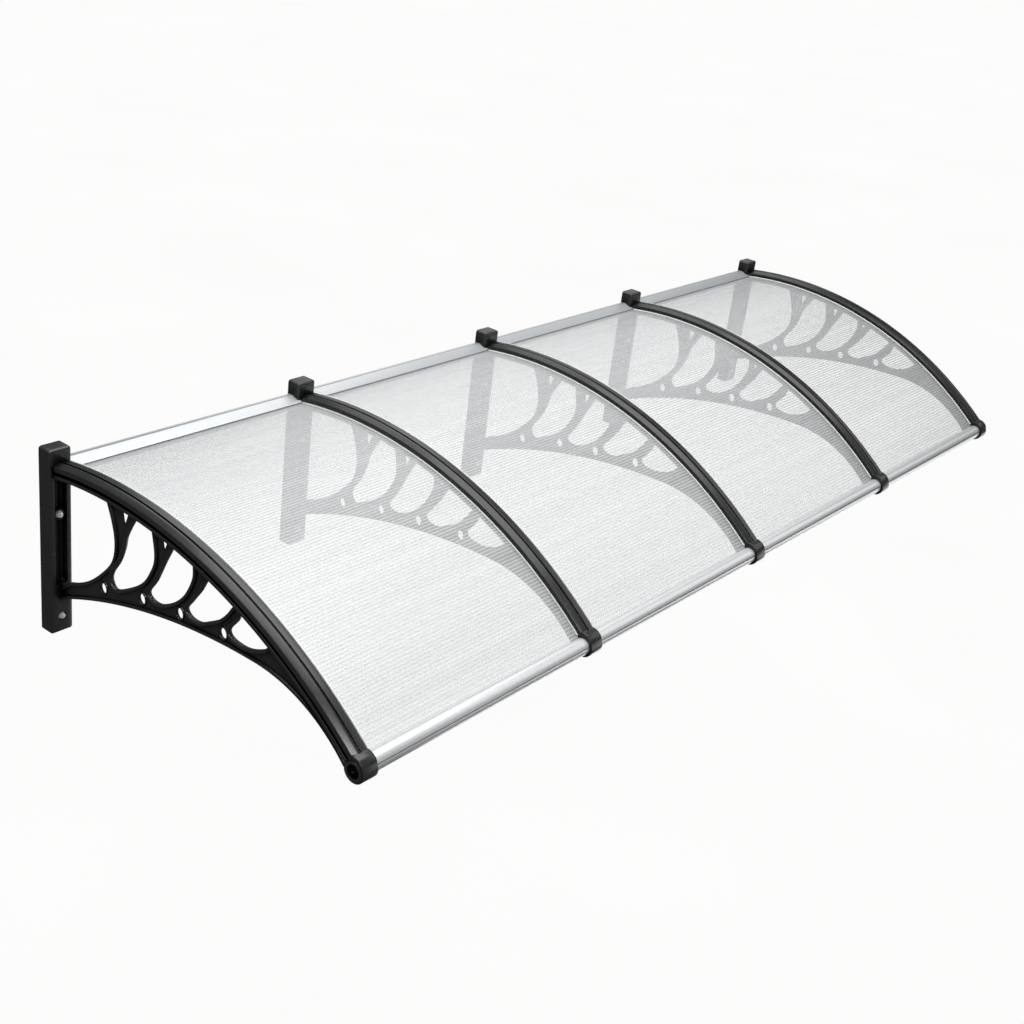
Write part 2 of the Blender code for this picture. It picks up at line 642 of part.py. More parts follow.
def end_plug_mesh(side, material):
    """Plug for the open socket of an end bracket: a flange outside and a round recess."""
    face = side * HUB_WIDTH / 2
    outer = face + side * CLEARANCE
    length = PLUG_LENGTH + CLEARANCE + PLUG_FLANGE_THICKNESS / 2
    plug = rod("plug", (face - side * PLUG_LENGTH, -HUB_OUT, HUB_UP), (side, 0, 0), SOCKET_RADIUS - CLEARANCE,
               length, material, BAR_SIDES)
    flange = rod("flange", (outer, -HUB_OUT, HUB_UP), (side, 0, 0), PLUG_FLANGE, PLUG_FLANGE_THICKNESS,
                 material, BAR_SIDES)
    combine(plug, [flange], "UNION")
    recess = rod("recess", (face - side * PLUG_RECESS_DEPTH, -HUB_OUT, HUB_UP), (side, 0, 0), PLUG_RECESS,
                 2 * PLUG_RECESS_DEPTH, material, BAR_SIDES)
    combine(plug, [recess], "DIFFERENCE")
    return take_mesh(plug)


def washer_mesh(material):
    """Washer with its back on y = 0, facing -Y."""
    washer = rod("washer", (0, 0, 0), (0, -1, 0), WASHER_RADIUS, WASHER_THICKNESS, material, 16)
    hole = rod("hole", (0, WASHER_THICKNESS, 0), (0, -1, 0), BOLT_RADIUS + BOLT_HOLE_CLEARANCE / 2,
               4 * WASHER_THICKNESS, material, ROUND_SIDES)
    combine(washer, [hole], "DIFFERENCE")
    return take_mesh(washer)


def bolt_mesh(shank, material):
    """Hexagon-headed bolt: the underside of its head is on y = 0 and its shank runs towards +Y."""
    head = rod("head", (0, 0, 0), (0, -1, 0), BOLT_HEAD_FLATS / sqrt(3), BOLT_HEAD_HEIGHT, material, 6)
    stem = rod("stem", (0, shank, 0), (0, -1, 0), BOLT_RADIUS, shank + BOLT_HEAD_HEIGHT / 2, material)
    combine(head, [stem], "UNION")
    return take_mesh(head)


def screw_mesh(material):
    """Short screw with a pan head below z = 0 and its shank upwards."""
    head = rod("head", (0, 0, -SCREW_HEAD_HEIGHT), (0, 0, 1), SCREW_HEAD_RADIUS, SCREW_HEAD_HEIGHT, material)
    stem = rod("stem", (0, 0, -SCREW_HEAD_HEIGHT / 2), (0, 0, 1), SCREW_RADIUS,
               SCREW_HEAD_HEIGHT / 2 + SCREW_LENGTH, material, 8)
    combine(head, [stem], "UNION")
    return take_mesh(head)


def place_bolts(material):
    """Two bolts with washers in each post."""
    for row, height in zip(("lower", "upper"), BOLT_HEIGHTS):
        seat = bolt_seat(height) + CLEARANCE / 2
        head = seat + WASHER_THICKNESS + CLEARANCE / 2
        place_row(f"{row}_washer", washer_mesh(material), [(x, -seat, height) for x in BRACKET_X])
        place_row(f"{row}_bolt", bolt_mesh(head - CLEARANCE, material), [(x, -head, height) for x in BRACKET_X])


def place_screws(material):
    """One screw under every end of every front bar."""
    up = HUB_UP - HUB_RADIUS - CLEARANCE / 2
    ends = [x + side * (BAY / 2 - screw_x(1)) for x in BAY_X for side in (-1, 1)]
    place_row("bar_screw", screw_mesh(material), [(x, -HUB_OUT, up) for x in ends])


def main():
    clear_scene()
    black_plastic = make_material("black_moulded_plastic", (0.020, 0.020, 0.019), 0.50)
    clear_sheet = make_material("clear_polycarbonate", (0.78, 0.80, 0.80), 0.15, alpha=0.55)
    aluminium = make_material("silver_aluminium", (0.80, 0.81, 0.82), 0.35, metallic=1.0)
    rubber = make_material("black_rubber", (0.025, 0.025, 0.025), 0.80)
    zinc = make_material("zinc_plated_steel", (0.68, 0.70, 0.71), 0.30, metallic=1.0)

    bay_places = [(x, 0, 0) for x in BAY_X]
    place_row("bracket", bracket_mesh(black_plastic), [(x, 0, 0) for x in BRACKET_X])
    place_row("sheet", sheet_mesh(clear_sheet), bay_places)
    place_row("front_bar", front_bar_mesh(aluminium), bay_places)
    place_row("wall_rail", rail_mesh(aluminium), bay_places)
    place_row("wall_seal", seal_mesh(rubber), bay_places)
    place("end_plug_left", end_plug_mesh(-1, black_plastic), (BRACKET_X[0], 0, 0))
    place("end_plug_right", end_plug_mesh(1, black_plastic), (BRACKET_X[-1], 0, 0))
    place_bolts(zinc)
    place_screws(zinc)
    for obj in bpy.data.objects:
        obj.location.z -= ORIGIN_UP


main()
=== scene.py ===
# Door canopy: moulded black brackets, arched twin-wall sheets, aluminium front bars and wall rails.
# Side outlines are pairs (out, up) in metres: out from the wall, up from the feet of the posts.
from math import asin, atan2, cos, pi, radians, sin, sqrt

import bmesh
import bpy
import numpy as np
from mathutils import Matrix, Vector
from mathutils.geometry import delaunay_2d_cdt, tessellate_polygon


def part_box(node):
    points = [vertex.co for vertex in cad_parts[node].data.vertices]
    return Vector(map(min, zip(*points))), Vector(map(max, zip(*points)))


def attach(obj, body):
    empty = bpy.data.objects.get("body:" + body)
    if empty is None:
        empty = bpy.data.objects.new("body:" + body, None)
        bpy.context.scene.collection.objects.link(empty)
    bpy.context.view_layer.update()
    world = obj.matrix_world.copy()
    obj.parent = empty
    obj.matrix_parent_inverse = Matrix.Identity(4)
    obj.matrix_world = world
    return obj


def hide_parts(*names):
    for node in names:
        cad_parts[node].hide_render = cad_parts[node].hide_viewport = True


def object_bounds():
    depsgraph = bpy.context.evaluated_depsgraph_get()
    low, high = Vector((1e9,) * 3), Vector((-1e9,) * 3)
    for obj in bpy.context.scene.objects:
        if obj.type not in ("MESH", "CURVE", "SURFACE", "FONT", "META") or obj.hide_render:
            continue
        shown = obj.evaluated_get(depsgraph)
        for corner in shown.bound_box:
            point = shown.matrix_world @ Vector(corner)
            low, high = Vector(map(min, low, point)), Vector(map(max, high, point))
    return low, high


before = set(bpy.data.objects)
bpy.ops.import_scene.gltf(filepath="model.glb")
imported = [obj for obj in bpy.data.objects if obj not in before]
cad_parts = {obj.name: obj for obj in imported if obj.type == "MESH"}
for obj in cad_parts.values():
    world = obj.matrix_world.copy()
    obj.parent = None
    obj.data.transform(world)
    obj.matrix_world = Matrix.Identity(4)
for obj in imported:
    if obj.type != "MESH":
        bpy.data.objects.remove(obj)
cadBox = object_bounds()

# Places that every piece shares, read from the frame
brackets = [name for name in sorted(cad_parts) if name.startswith("bracket_")]
bays = [name for name in sorted(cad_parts) if name.startswith("sheet_")]


def middleX(node):
    low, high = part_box(node)
    return (low.x + high.x) / 2


def halfLength(node):
    low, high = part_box(node)
    return (high.x - low.x) / 2


bracketX = [middleX(name) for name in brackets]
bayX = [middleX(name) for name in bays]
bay = bracketX[1] - bracketX[0]
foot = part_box(brackets[0])[0].z                      # height of the posts' feet in the frame
barLow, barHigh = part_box("front_bar_1")
hub = Vector((-(barLow.y + barHigh.y) / 2, (barLow.z + barHigh.z) / 2 - foot))
barRadius = (barHigh.z - barLow.z) / 2
sheetRear = -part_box("sheet_1")[1].y                  # how far out the sheets begin

arch = dict(
    radius=1.180,            # outer face of the arm
    out=0.225,               # its highest point
    centreUp=-0.738,
    slotTop=1.160,           # the slot that takes the sheets
    slotBottom=1.1526,
    flangeBottom=1.1436,
    hubDrop=0.024,           # from the outer face in to the hub's axis
)
slotMiddle = (arch["slotTop"] + arch["slotBottom"]) / 2
hubAngle = asin((hub.x - arch["out"]) / (arch["radius"] - arch["hubDrop"]))
print("frame read,", len(brackets), "brackets")


# Small tools

def linear(hexColour):
    parts = [int(hexColour[i:i + 2], 16) / 255 for i in (1, 3, 5)]
    parts = [c / 12.92 if c <= 0.04045 else ((c + 0.055) / 1.055) ** 2.4 for c in parts]
    return (*parts, 1.0)


def feed(tree, node, inputs):
    # Another node's socket is linked, and a plain value is written
    for socket, value in inputs.items():
        if isinstance(value, bpy.types.NodeSocket):
            tree.links.new(value, node.inputs[socket])
        else:
            node.inputs[socket].default_value = value


def addNode(tree, kind, inputs=None, **settings):
    node = tree.nodes.new(kind)
    for name, value in settings.items():
        setattr(node, name, value)
    feed(tree, node, inputs or {})
    return node


def nodeOutput(tree, kind, inputs=None, **settings):
    return addNode(tree, kind, inputs, **settings).outputs[0]


def onArch(radius, angle):
    return (arch["out"] + radius * sin(angle), arch["centreUp"] + radius * cos(angle))


def archAngle(radius, out):
    return asin((out - arch["out"]) / radius)


def place(x, out, up):
    return Vector((x, -out, up + foot))


def filleted(corners, steps=5):
    # Closed outline from corners (a, b, fillet), each rounded by an arc
    outline = []
    count = len(corners)
    for k, (a, b, fillet) in enumerate(corners):
        here = Vector((a, b))
        before = Vector(corners[k - 1][:2]) - here
        after = Vector(corners[(k + 1) % count][:2]) - here
        turn = before.angle(after)
        if fillet == 0 or abs(turn - pi) < 0.01:
            outline.append((a, b))
            continue
        reach = min(fillet / np.tan(turn / 2), before.length * 0.49, after.length * 0.49)
        start = here + before.normalized() * reach
        end = here + after.normalized() * reach
        for i in range(steps + 1):
            t = i / steps
            p = start * (1 - t) ** 2 + here * 2 * t * (1 - t) + end * t ** 2
            outline.append((p.x, p.y))
    return outline


def newObject(name, data):
    obj = bpy.data.objects.new(name, data)
    bpy.context.scene.collection.objects.link(obj)
    return obj


def meshObject(name, bm):
    bmesh.ops.recalc_face_normals(bm, faces=bm.faces)
    mesh = bpy.data.meshes.new(name)
    bm.to_mesh(mesh)
    bm.free()
    return newObject(name, mesh)


def prism(name, outline, xRange, holes=()):
    # Solid with a side outline (out, up) and holes through it
    loops = [list(outline)] + [list(hole) for hole in holes]
    flat = [[Vector((a, b, 0)) for a, b in loop] for loop in loops]
    faces = tessellate_polygon(flat) if holes else [range(len(outline))]
    bm = bmesh.new()
    ends = [[bm.verts.new((x, -c.x, c.y + foot)) for loop in flat for c in loop] for x in xRange]
    for end in ends:
        for face in faces:
            bm.faces.new([end[i] for i in face])
    start = 0
    for loop in loops:
        for k in range(len(loop)):
            a = start + k
            b = start + (k + 1) % len(loop)
            bm.faces.new((ends[0][a], ends[0][b], ends[1][b], ends[1][a]))
        start += len(loop)
    return meshObject(name, bm)


def roundedBox(name, low, high, fillet, segments=4, keepBack=False):
    bm = bmesh.new()
    bmesh.ops.create_cube(bm, size=1.0)
    for vert in bm.verts:
        vert.co = [low[i] + (vert.co[i] + 0.5) * (high[i] - low[i]) for i in range(3)]
    back = max(low[1], high[1])
    edges = [e for e in bm.edges if not (keepBack and all(abs(v.co.y - back) < 1e-6 for v in e.verts))]
    bmesh.ops.bevel(bm, geom=edges, offset=fillet, segments=segments, profile=0.5, affect="EDGES")
    return meshObject(name, bm)


def turned(name, profile, centre, axis, sides=64):
    # Closed solid of revolution from pairs (along, radius); the first and the last radius are 0
    turn = Vector(axis).to_track_quat("Z", "X")
    bm = bmesh.new()
    rings = []
    for along, radius in profile:
        count = 1 if radius == 0 else sides
        ring = []
        for k in range(count):
            a = 2 * pi * (k + 0.5) / sides
            spot = Vector((radius * cos(a), radius * sin(a), along))
            ring.append(bm.verts.new(Vector(centre) + turn @ spot))
        rings.append(ring)
    for one, two in zip(rings, rings[1:]):
        for k in range(sides):
            corners = [one[k % len(one)], one[(k + 1) % len(one)], two[(k + 1) % len(two)], two[k % len(two)]]
            bm.faces.new(list(dict.fromkeys(corners)))
    return meshObject(name, bm)


def rod(name, radius, ends, centre, axis, sides):
    low, high = ends
    return turned(name, [(low, 0), (low, radius), (high, radius), (high, 0)], centre, axis, sides)


def plainMesh(obj):
    # The evaluated shape becomes the object's own mesh, and its modifiers go
    bpy.context.view_layer.update()
    evaluated = obj.evaluated_get(bpy.context.evaluated_depsgraph_get())
    mesh = bpy.data.meshes.new_from_object(evaluated)
    obj.modifiers.clear()
    obj.data = mesh
    return obj


def boolean(base, others, operation):
    for other in others:
        modifier = base.modifiers.new(operation, "BOOLEAN")
        modifier.operation = operation
        modifier.solver = "EXACT"
        modifier.object = other
    plainMesh(base)
    for other in others:
        bpy.data.objects.remove(other)
    return base


def bevelled(obj, width, segments=2, angle=radians(35)):
    modifier = obj.modifiers.new("edgeRounding", "BEVEL")
    modifier.width = width
    modifier.segments = segments
    modifier.limit_method = "ANGLE"
    modifier.angle_limit = angle
    return plainMesh(obj)


def finishPiece(obj, material, replaced, sharp=radians(32)):
    obj.data.materials.clear()
    obj.data.materials.append(material)
    obj.data.shade_smooth()
    obj.data.set_sharp_from_angle(angle=sharp)
    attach(obj, "root")
    if replaced:
        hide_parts(*replaced)


def placeCopies(model, places, name, material, node, sharp=radians(32)):
    # A finished piece at each place, numbered from 1, in place of the node of the same number
    for number, x in enumerate(places, start=1):
        mesh = model.data.copy()
        mesh.transform(Matrix.Translation((x, 0, 0)))
        finishPiece(newObject(f"{name}_{number}", mesh), material, [f"{node}_{number}"], sharp)
    bpy.data.objects.remove(model)


# Materials

def newMaterial(name):
    material = bpy.data.materials.new(name)
    material.use_nodes = True
    tree = material.node_tree
    coordinates = addNode(tree, "ShaderNodeTexCoord").outputs["Object"]
    return material, tree, tree.nodes["Principled BSDF"], coordinates


def stretched(tree, coordinates, scale):
    return nodeOutput(tree, "ShaderNodeMapping", {"Vector": coordinates, "Scale": scale})


def noise(tree, vector, scale, detail=2.0):
    inputs = {"Vector": vector, "Scale": scale, "Detail": detail, "Roughness": 0.5}
    return addNode(tree, "ShaderNodeTexNoise", inputs).outputs["Fac"]


def ranged(tree, value, low, high, fromLow=0.3, fromHigh=0.7):
    inputs = {"Value": value, "From Min": fromLow, "From Max": fromHigh, "To Min": low, "To Max": high}
    return nodeOutput(tree, "ShaderNodeMapRange", inputs)


def blended(tree, factor, first, second):
    # From one colour to another, each a hex text or a socket
    first, second = [linear(side) if isinstance(side, str) else side for side in (first, second)]
    inputs = {"Factor": factor, "A": first, "B": second}
    return addNode(tree, "ShaderNodeMix", inputs, data_type="RGBA").outputs["Result"]


def paintedRecessShade(tree, v, face):
    # Painted shade: the colour of a face turns to a dark shade colour where other faces stand close, in
    # recesses, grooves and corners
    reach = {"Distance": v["shadeReach"]}
    near = addNode(tree, "ShaderNodeAmbientOcclusion", reach, samples=6).outputs["AO"]
    return blended(tree, ranged(tree, near, 0.0, 1.0, *v["exposure"]), v["recess"], face)


def bumped(tree, height, strength, distance):
    return nodeOutput(tree, "ShaderNodeBump", {"Height": height, "Strength": strength, "Distance": distance})


def mathNode(tree, operation, a, b=0.0, c=0.0):
    return nodeOutput(tree, "ShaderNodeMath", {0: a, 1: b, 2: c}, operation=operation)


def combined(tree, x=0.0, y=0.0, z=0.0):
    return nodeOutput(tree, "ShaderNodeCombineXYZ", {0: x, 1: y, 2: z})


blackPlastic = dict(
    # recess: the painted shade colour for recesses and corners; dark and light: the plastic's own mottled
    # tones
    recess="#010101", dark="#2a2b2b", light="#323333",
    shadeReach=0.030,       # how near other faces have to be to paint shade on a spot
    exposure=(0.72, 0.98),   # AO values from full painted shade to none
    patch=0.040,             # size of the faint mottling
    grain=0.0012,            # moulded texture, real 0.3 mm, coarser so that it shows
    bump=(0.12, 0.0003),     # strength and depth
    roughness=(0.23, 0.29),
    specular=0.5,
)


def blackPlasticMaterial():
    # Injection-moulded polypropylene: satin black with a fine grain that breaks up its highlights
    v = blackPlastic
    material, tree, shader, coordinates = newMaterial("moulded_black_plastic")
    patches = noise(tree, coordinates, 1 / v["patch"], 3.0)
    grain = noise(tree, coordinates, 1 / v["grain"])
    face = blended(tree, patches, v["dark"], v["light"])
    # The base colour carries painted shade in the recesses
    feed(tree, shader, {"Base Color": paintedRecessShade(tree, v, face),
                        "Roughness": ranged(tree, patches, *v["roughness"]),
                        "Specular IOR Level": v["specular"], "Normal": bumped(tree, grain, *v["bump"])})
    return material


polycarbonate = dict(
    clear="#f1f3f3", streak="#e2e5e6",
    die=0.024,               # width of the irregular streaks over the flutes
    streakStretch=0.7,       # waves of a streak in a metre of its length
    streakShare=0.38,        # of the whole pattern
    contrast=(0.15, 0.85),
    bump=(0.08, 0.0006),
    alpha=(0.10, 0.34),      # of each of the faces that a view passes through
    roughness=0.26,
    specular=0.5,
)


def polycarbonateMaterial(firstRib, step):
    # Extruded twin-wall polycarbonate: milky clear, with die lines and flutes across the arch
    v = polycarbonate
    material, tree, shader, coordinates = newMaterial("twin_wall_polycarbonate")
    apart = addNode(tree, "ShaderNodeSeparateXYZ", {0: coordinates})
    outwards = mathNode(tree, "SUBTRACT", mathNode(tree, "MULTIPLY", apart.outputs[1], -1.0), arch["out"])
    upwards = mathNode(tree, "SUBTRACT", apart.outputs[2], arch["centreUp"] + foot)
    angle = mathNode(tree, "ARCTAN2", outwards, upwards)
    radius = mathNode(tree, "SQRT", mathNode(tree, "MULTIPLY_ADD", outwards, outwards,
                                             mathNode(tree, "MULTIPLY", upwards, upwards)))
    outerSkin = mathNode(tree, "GREATER_THAN", radius, arch["slotTop"] - 0.002)
    turns = mathNode(tree, "MULTIPLY", mathNode(tree, "SUBTRACT", angle, firstRib), 2 * pi / step)
    wave = mathNode(tree, "MULTIPLY", mathNode(tree, "COSINE", turns), outerSkin)
    flute = mathNode(tree, "MULTIPLY_ADD", wave, 0.5, 0.5)
    fluteShare = mathNode(tree, "MULTIPLY", flute, 1 - v["streakShare"])
    along = mathNode(tree, "MULTIPLY", angle, arch["slotTop"])
    line = combined(tree, apart.outputs[0], along)
    streak = noise(tree, stretched(tree, line, (v["streakStretch"], 1 / v["die"], 1.0)), 1.0)
    fine = mathNode(tree, "MULTIPLY_ADD", streak, v["streakShare"], fluteShare)
    shade = ranged(tree, fine, 0.0, 1.0, *v["contrast"])
    feed(tree, shader, {"Base Color": blended(tree, shade, v["clear"], v["streak"]),
                        "Alpha": ranged(tree, shade, *v["alpha"], 0.0, 1.0), "Roughness": v["roughness"],
                        "Specular IOR Level": v["specular"], "Normal": bumped(tree, fine, *v["bump"])})
    return material


aluminium = dict(
    # recess: the painted shade colour for grooves, slots and corners; dark and light: the metal's die-line
    # tones
    light="#e9ebec", dark="#dcdfe1", recess="#62666a",
    shadeReach=0.006,
    exposure=(0.45, 0.9),
    dieLine=0.0015,          # real 0.2 mm, coarser so that it shows
    lineStretch=0.6,
    bump=(0.02, 0.0002),
    roughness=(0.30, 0.36),
    metallic=0.45,
)
shadedRailAluminium = dict(aluminium, light="#cfd2d4", dark="#bfc3c6")     # the bars' aluminium with darker colours: painted shade on the rails


def aluminiumMaterial(name, v):
    # Extruded aluminium, satin: fine die lines along its length
    material, tree, shader, coordinates = newMaterial(name)
    across = 1 / v["dieLine"]
    lines = noise(tree, stretched(tree, coordinates, (v["lineStretch"], across, across)), 1.0)
    face = blended(tree, lines, v["dark"], v["light"])
    # The base colour carries painted shade in grooves and slots
    feed(tree, shader, {"Base Color": paintedRecessShade(tree, v, face), "Metallic": v["metallic"],
                        "Roughness": ranged(tree, lines, *v["roughness"]),
                        "Normal": bumped(tree, lines, *v["bump"])})
    return material


zinc = dict(light="#f2f4f4", dark="#c4c9cb", spangle=0.0022, contrast=1.4,
            roughness=(0.22, 0.38), metallic=0.4)


def zincMaterial():
    # Zinc-plated steel: bright, with a faintly crystalline surface
    v = zinc
    material, tree, shader, coordinates = newMaterial("zinc_plated_steel")
    cells = addNode(tree, "ShaderNodeTexVoronoi", {"Vector": coordinates, "Scale": 1 / v["spangle"]})
    grey = mathNode(tree, "MULTIPLY", cells.outputs["Distance"], v["contrast"])
    feed(tree, shader, {"Base Color": blended(tree, grey, v["light"], v["dark"]), "Metallic": v["metallic"],
                        "Roughness": ranged(tree, grey, *v["roughness"])})
    return material


rubber = dict(dark="#101010", light="#1b1b1b", grain=0.0010, bump=(0.3, 0.0002), roughness=0.85)


def rubberMaterial():
    # Extruded EPDM strip: matt black with a dusty grain
    v = rubber
    material, tree, shader, coordinates = newMaterial("extruded_black_rubber")
    grain = noise(tree, coordinates, 1 / v["grain"], 3.0)
    feed(tree, shader, {"Base Color": blended(tree, grain, v["dark"], v["light"]),
                        "Roughness": v["roughness"], "Normal": bumped(tree, grain, *v["bump"])})
    return material


# Colours of the white strips that paint the glare line along the sheets' edges
whiteStrip = dict(light="#ffffff", dark="#f1f3f3", patch=0.02, roughness=0.35)


def whiteStripMaterial():
    # Painted highlight: a bright white strip, slightly glossy and faintly uneven, standing in for the glare
    # line along the edge of each sheet
    v = whiteStrip
    material, tree, shader, coordinates = newMaterial("white_strip_painted_highlight")
    patches = noise(tree, coordinates, 1 / v["patch"])
    feed(tree, shader, {"Base Color": blended(tree, patches, v["dark"], v["light"]),
                        "Roughness": v["roughness"]})
    return material


plasticFinish = blackPlasticMaterial()
stripFinish = whiteStripMaterial()
aluminiumFinish = aluminiumMaterial("satin_anodised_aluminium", aluminium)
# The rails get the darker copy of the aluminium, painted shade
railFinish = aluminiumMaterial("rail_aluminium_painted_shade", shadedRailAluminium)
zincFinish = zincMaterial()
rubberFinish = rubberMaterial()
print("materials made")


# Geometry Nodes: every tree ends in Realize Instances and Set Material

def newTree(name, sockets):
    tree = bpy.data.node_groups.new(name, "GeometryNodeTree")
    tree.interface.new_socket(name="Geometry", in_out="OUTPUT", socket_type="NodeSocketGeometry")
    for label, kind in sockets.items():
        tree.interface.new_socket(name=label, in_out="INPUT", socket_type="NodeSocket" + kind)
    return tree, addNode(tree, "NodeGroupInput").outputs


def endTree(tree, geometry, material):
    realized = nodeOutput(tree, "GeometryNodeRealizeInstances", {"Geometry": geometry})
    coated = nodeOutput(tree, "GeometryNodeSetMaterial", {"Geometry": realized, "Material": material})
    addNode(tree, "NodeGroupOutput", {"Geometry": coated})


def joinedParts(tree, parts):
    joined = addNode(tree, "GeometryNodeJoinGeometry")
    for part in parts:
        tree.links.new(part, joined.inputs[0])
    return joined.outputs[0]


def grownPiece(name, tree, values):
    # A plain mesh object from a tree and its named inputs
    obj = newObject(name, bpy.data.meshes.new(name))
    modifier = obj.modifiers.new("grow", "NODES")
    modifier.node_group = tree
    for item in tree.interface.items_tree:
        if item.in_out == "INPUT":
            modifier[item.identifier] = values[item.name]
    return plainMesh(obj)


archSockets = {"Arch Out": "Float", "Arch Up": "Float", "Material": "Material"}
archPlace = {"Arch Out": arch["out"], "Arch Up": arch["centreUp"] + foot}


def bentOnArch(tree, geometry, sockets):
    # (x, angle, radius) in the flat becomes a point of the arch
    flat = nodeOutput(tree, "GeometryNodeInputPosition")
    x, angle, radius = addNode(tree, "ShaderNodeSeparateXYZ", {0: flat}).outputs
    out = mathNode(tree, "MULTIPLY_ADD", radius, mathNode(tree, "SINE", angle), sockets["Arch Out"])
    up = mathNode(tree, "MULTIPLY_ADD", radius, mathNode(tree, "COSINE", angle), sockets["Arch Up"])
    bent = combined(tree, x, mathNode(tree, "MULTIPLY", out, -1.0), up)
    return nodeOutput(tree, "GeometryNodeSetPosition", {"Geometry": geometry, "Position": bent})


def armTree():
    # Sweeps a section along the arch: a straight sweep in (x, angle, radius), then the bend
    tree, sockets = newTree("archedArm", {
        "Section": "Object", "First": "Float", "Last": "Float", "Stations": "Int", **archSockets})
    ends = {"Start": combined(tree, 0.0, sockets["First"]), "End": combined(tree, 0.0, sockets["Last"])}
    line = nodeOutput(tree, "GeometryNodeCurvePrimitiveLine", ends)
    line = nodeOutput(tree, "GeometryNodeResampleCurve", {"Curve": line, "Count": sockets["Stations"]})
    line = nodeOutput(tree, "GeometryNodeSetCurveNormal", {"Curve": line}, mode="Z_UP")
    section = addNode(tree, "GeometryNodeObjectInfo", {"Object": sockets["Section"]}).outputs["Geometry"]
    ring = nodeOutput(tree, "GeometryNodeMeshToCurve", {"Mesh": section})
    swept = {"Curve": line, "Profile Curve": ring, "Fill Caps": True}
    sweep = nodeOutput(tree, "GeometryNodeCurveToMesh", swept)
    endTree(tree, bentOnArch(tree, sweep, sockets), sockets["Material"])
    return tree


def sheetTree():
    # Two skins and the ribs between them, laid out flat and then bent
    tree, sockets = newTree("twinWallSheet", {
        "Half Width": "Float", "First": "Float", "Last": "Float", "Middle": "Float", "Thickness": "Float",
        "Skin": "Float", "Rib": "Float", "Flutes": "Int", **archSockets})
    first, last, middle, flutes = [sockets[label] for label in ("First", "Last", "Middle", "Flutes")]
    width = mathNode(tree, "MULTIPLY", sockets["Half Width"], 2.0)
    reach = mathNode(tree, "SUBTRACT", last, first)
    halfWay = mathNode(tree, "MULTIPLY", mathNode(tree, "ADD", first, last), 0.5)
    ribHeight = mathNode(tree, "SUBTRACT", sockets["Thickness"], sockets["Skin"])
    rise = mathNode(tree, "MULTIPLY", ribHeight, 0.5)
    across = mathNode(tree, "ADD", flutes, 1.0)
    skinSize = combined(tree, width, reach, sockets["Skin"])
    skin = nodeOutput(tree, "GeometryNodeMeshCube", {"Size": skinSize, "Vertices Y": across})
    parts = []
    for side in ("ADD", "SUBTRACT"):
        shift = combined(tree, 0.0, halfWay, mathNode(tree, side, middle, rise))
        parts.append(nodeOutput(tree, "GeometryNodeTransform", {"Geometry": skin, "Translation": shift}))
    step = mathNode(tree, "DIVIDE", reach, flutes)
    ribSize = combined(tree, width, mathNode(tree, "DIVIDE", sockets["Rib"], middle), ribHeight)
    rib = nodeOutput(tree, "GeometryNodeMeshCube", {"Size": ribSize})
    spots = nodeOutput(tree, "GeometryNodeMeshLine", {
        "Count": mathNode(tree, "SUBTRACT", flutes, 1.0), "Offset": combined(tree, 0.0, step),
        "Start Location": combined(tree, 0.0, mathNode(tree, "ADD", first, step), middle)})
    ribs = nodeOutput(tree, "GeometryNodeInstanceOnPoints", {"Points": spots, "Instance": rib})
    parts.append(nodeOutput(tree, "GeometryNodeRealizeInstances", {"Geometry": ribs}))
    endTree(tree, bentOnArch(tree, joinedParts(tree, parts), sockets), sockets["Material"])
    return tree


def fixingTree():
    # Two parallel rows of one fixing, a step apart
    tree, sockets = newTree("fixingRows", {
        "Fixing": "Object", "Count": "Int", "First": "Vector", "Step": "Float", "Second Row": "Vector",
        "Material": "Material"})
    fixing = addNode(tree, "GeometryNodeObjectInfo", {"Object": sockets["Fixing"]}).outputs["Geometry"]
    step = combined(tree, sockets["Step"])
    row = nodeOutput(tree, "GeometryNodeMeshLine", {
        "Count": sockets["Count"], "Start Location": sockets["First"], "Offset": step})
    moved = {"Geometry": row, "Translation": sockets["Second Row"]}
    spots = joinedParts(tree, (row, nodeOutput(tree, "GeometryNodeTransform", moved)))
    copies = nodeOutput(tree, "GeometryNodeInstanceOnPoints", {"Points": spots, "Instance": fixing})
    endTree(tree, copies, sockets["Material"])
    return tree


# Bracket: post, arched arm, scrollwork and hub

post = dict(
    width=0.058, depth=0.038, height=0.457, fillet=0.0068,
    channelWidth=0.031, channelDepth=0.020, channelBottom=0.124, channelTop=0.392, channelFillet=0.003,
    boltHeights=(0.041, 0.296), boltSeats=(0.033, 0.029), seatRadius=0.010, boltHole=0.0046,
    bossRadius=0.0135, bossFront=0.034, bossEdge=0.0012,
)


def postSolid():
    v = post
    half = v["width"] / 2
    body = roundedBox("post", (-half, -v["depth"], foot), (half, 0, foot + v["height"]), v["fillet"], 5, True)
    halfChannel = v["channelWidth"] / 2
    low = (-halfChannel, -2 * v["depth"], foot + v["channelBottom"])
    high = (halfChannel, v["channelDepth"] - v["depth"], foot + v["channelTop"])
    channel = roundedBox("channel", low, high, v["channelFillet"], 3)
    boolean(body, [channel], "DIFFERENCE")
    start = (v["depth"] - v["channelDepth"]) / 2
    front, radius, edge = v["bossFront"] - start, v["bossRadius"], v["bossEdge"]
    boss = turned("boss", [(0, 0), (0, radius), (front - edge, radius), (front, radius - edge), (front, 0)],
                  (0, -start, foot + v["boltHeights"][1]), (0, -1, 0), 48)
    return body, [boss]


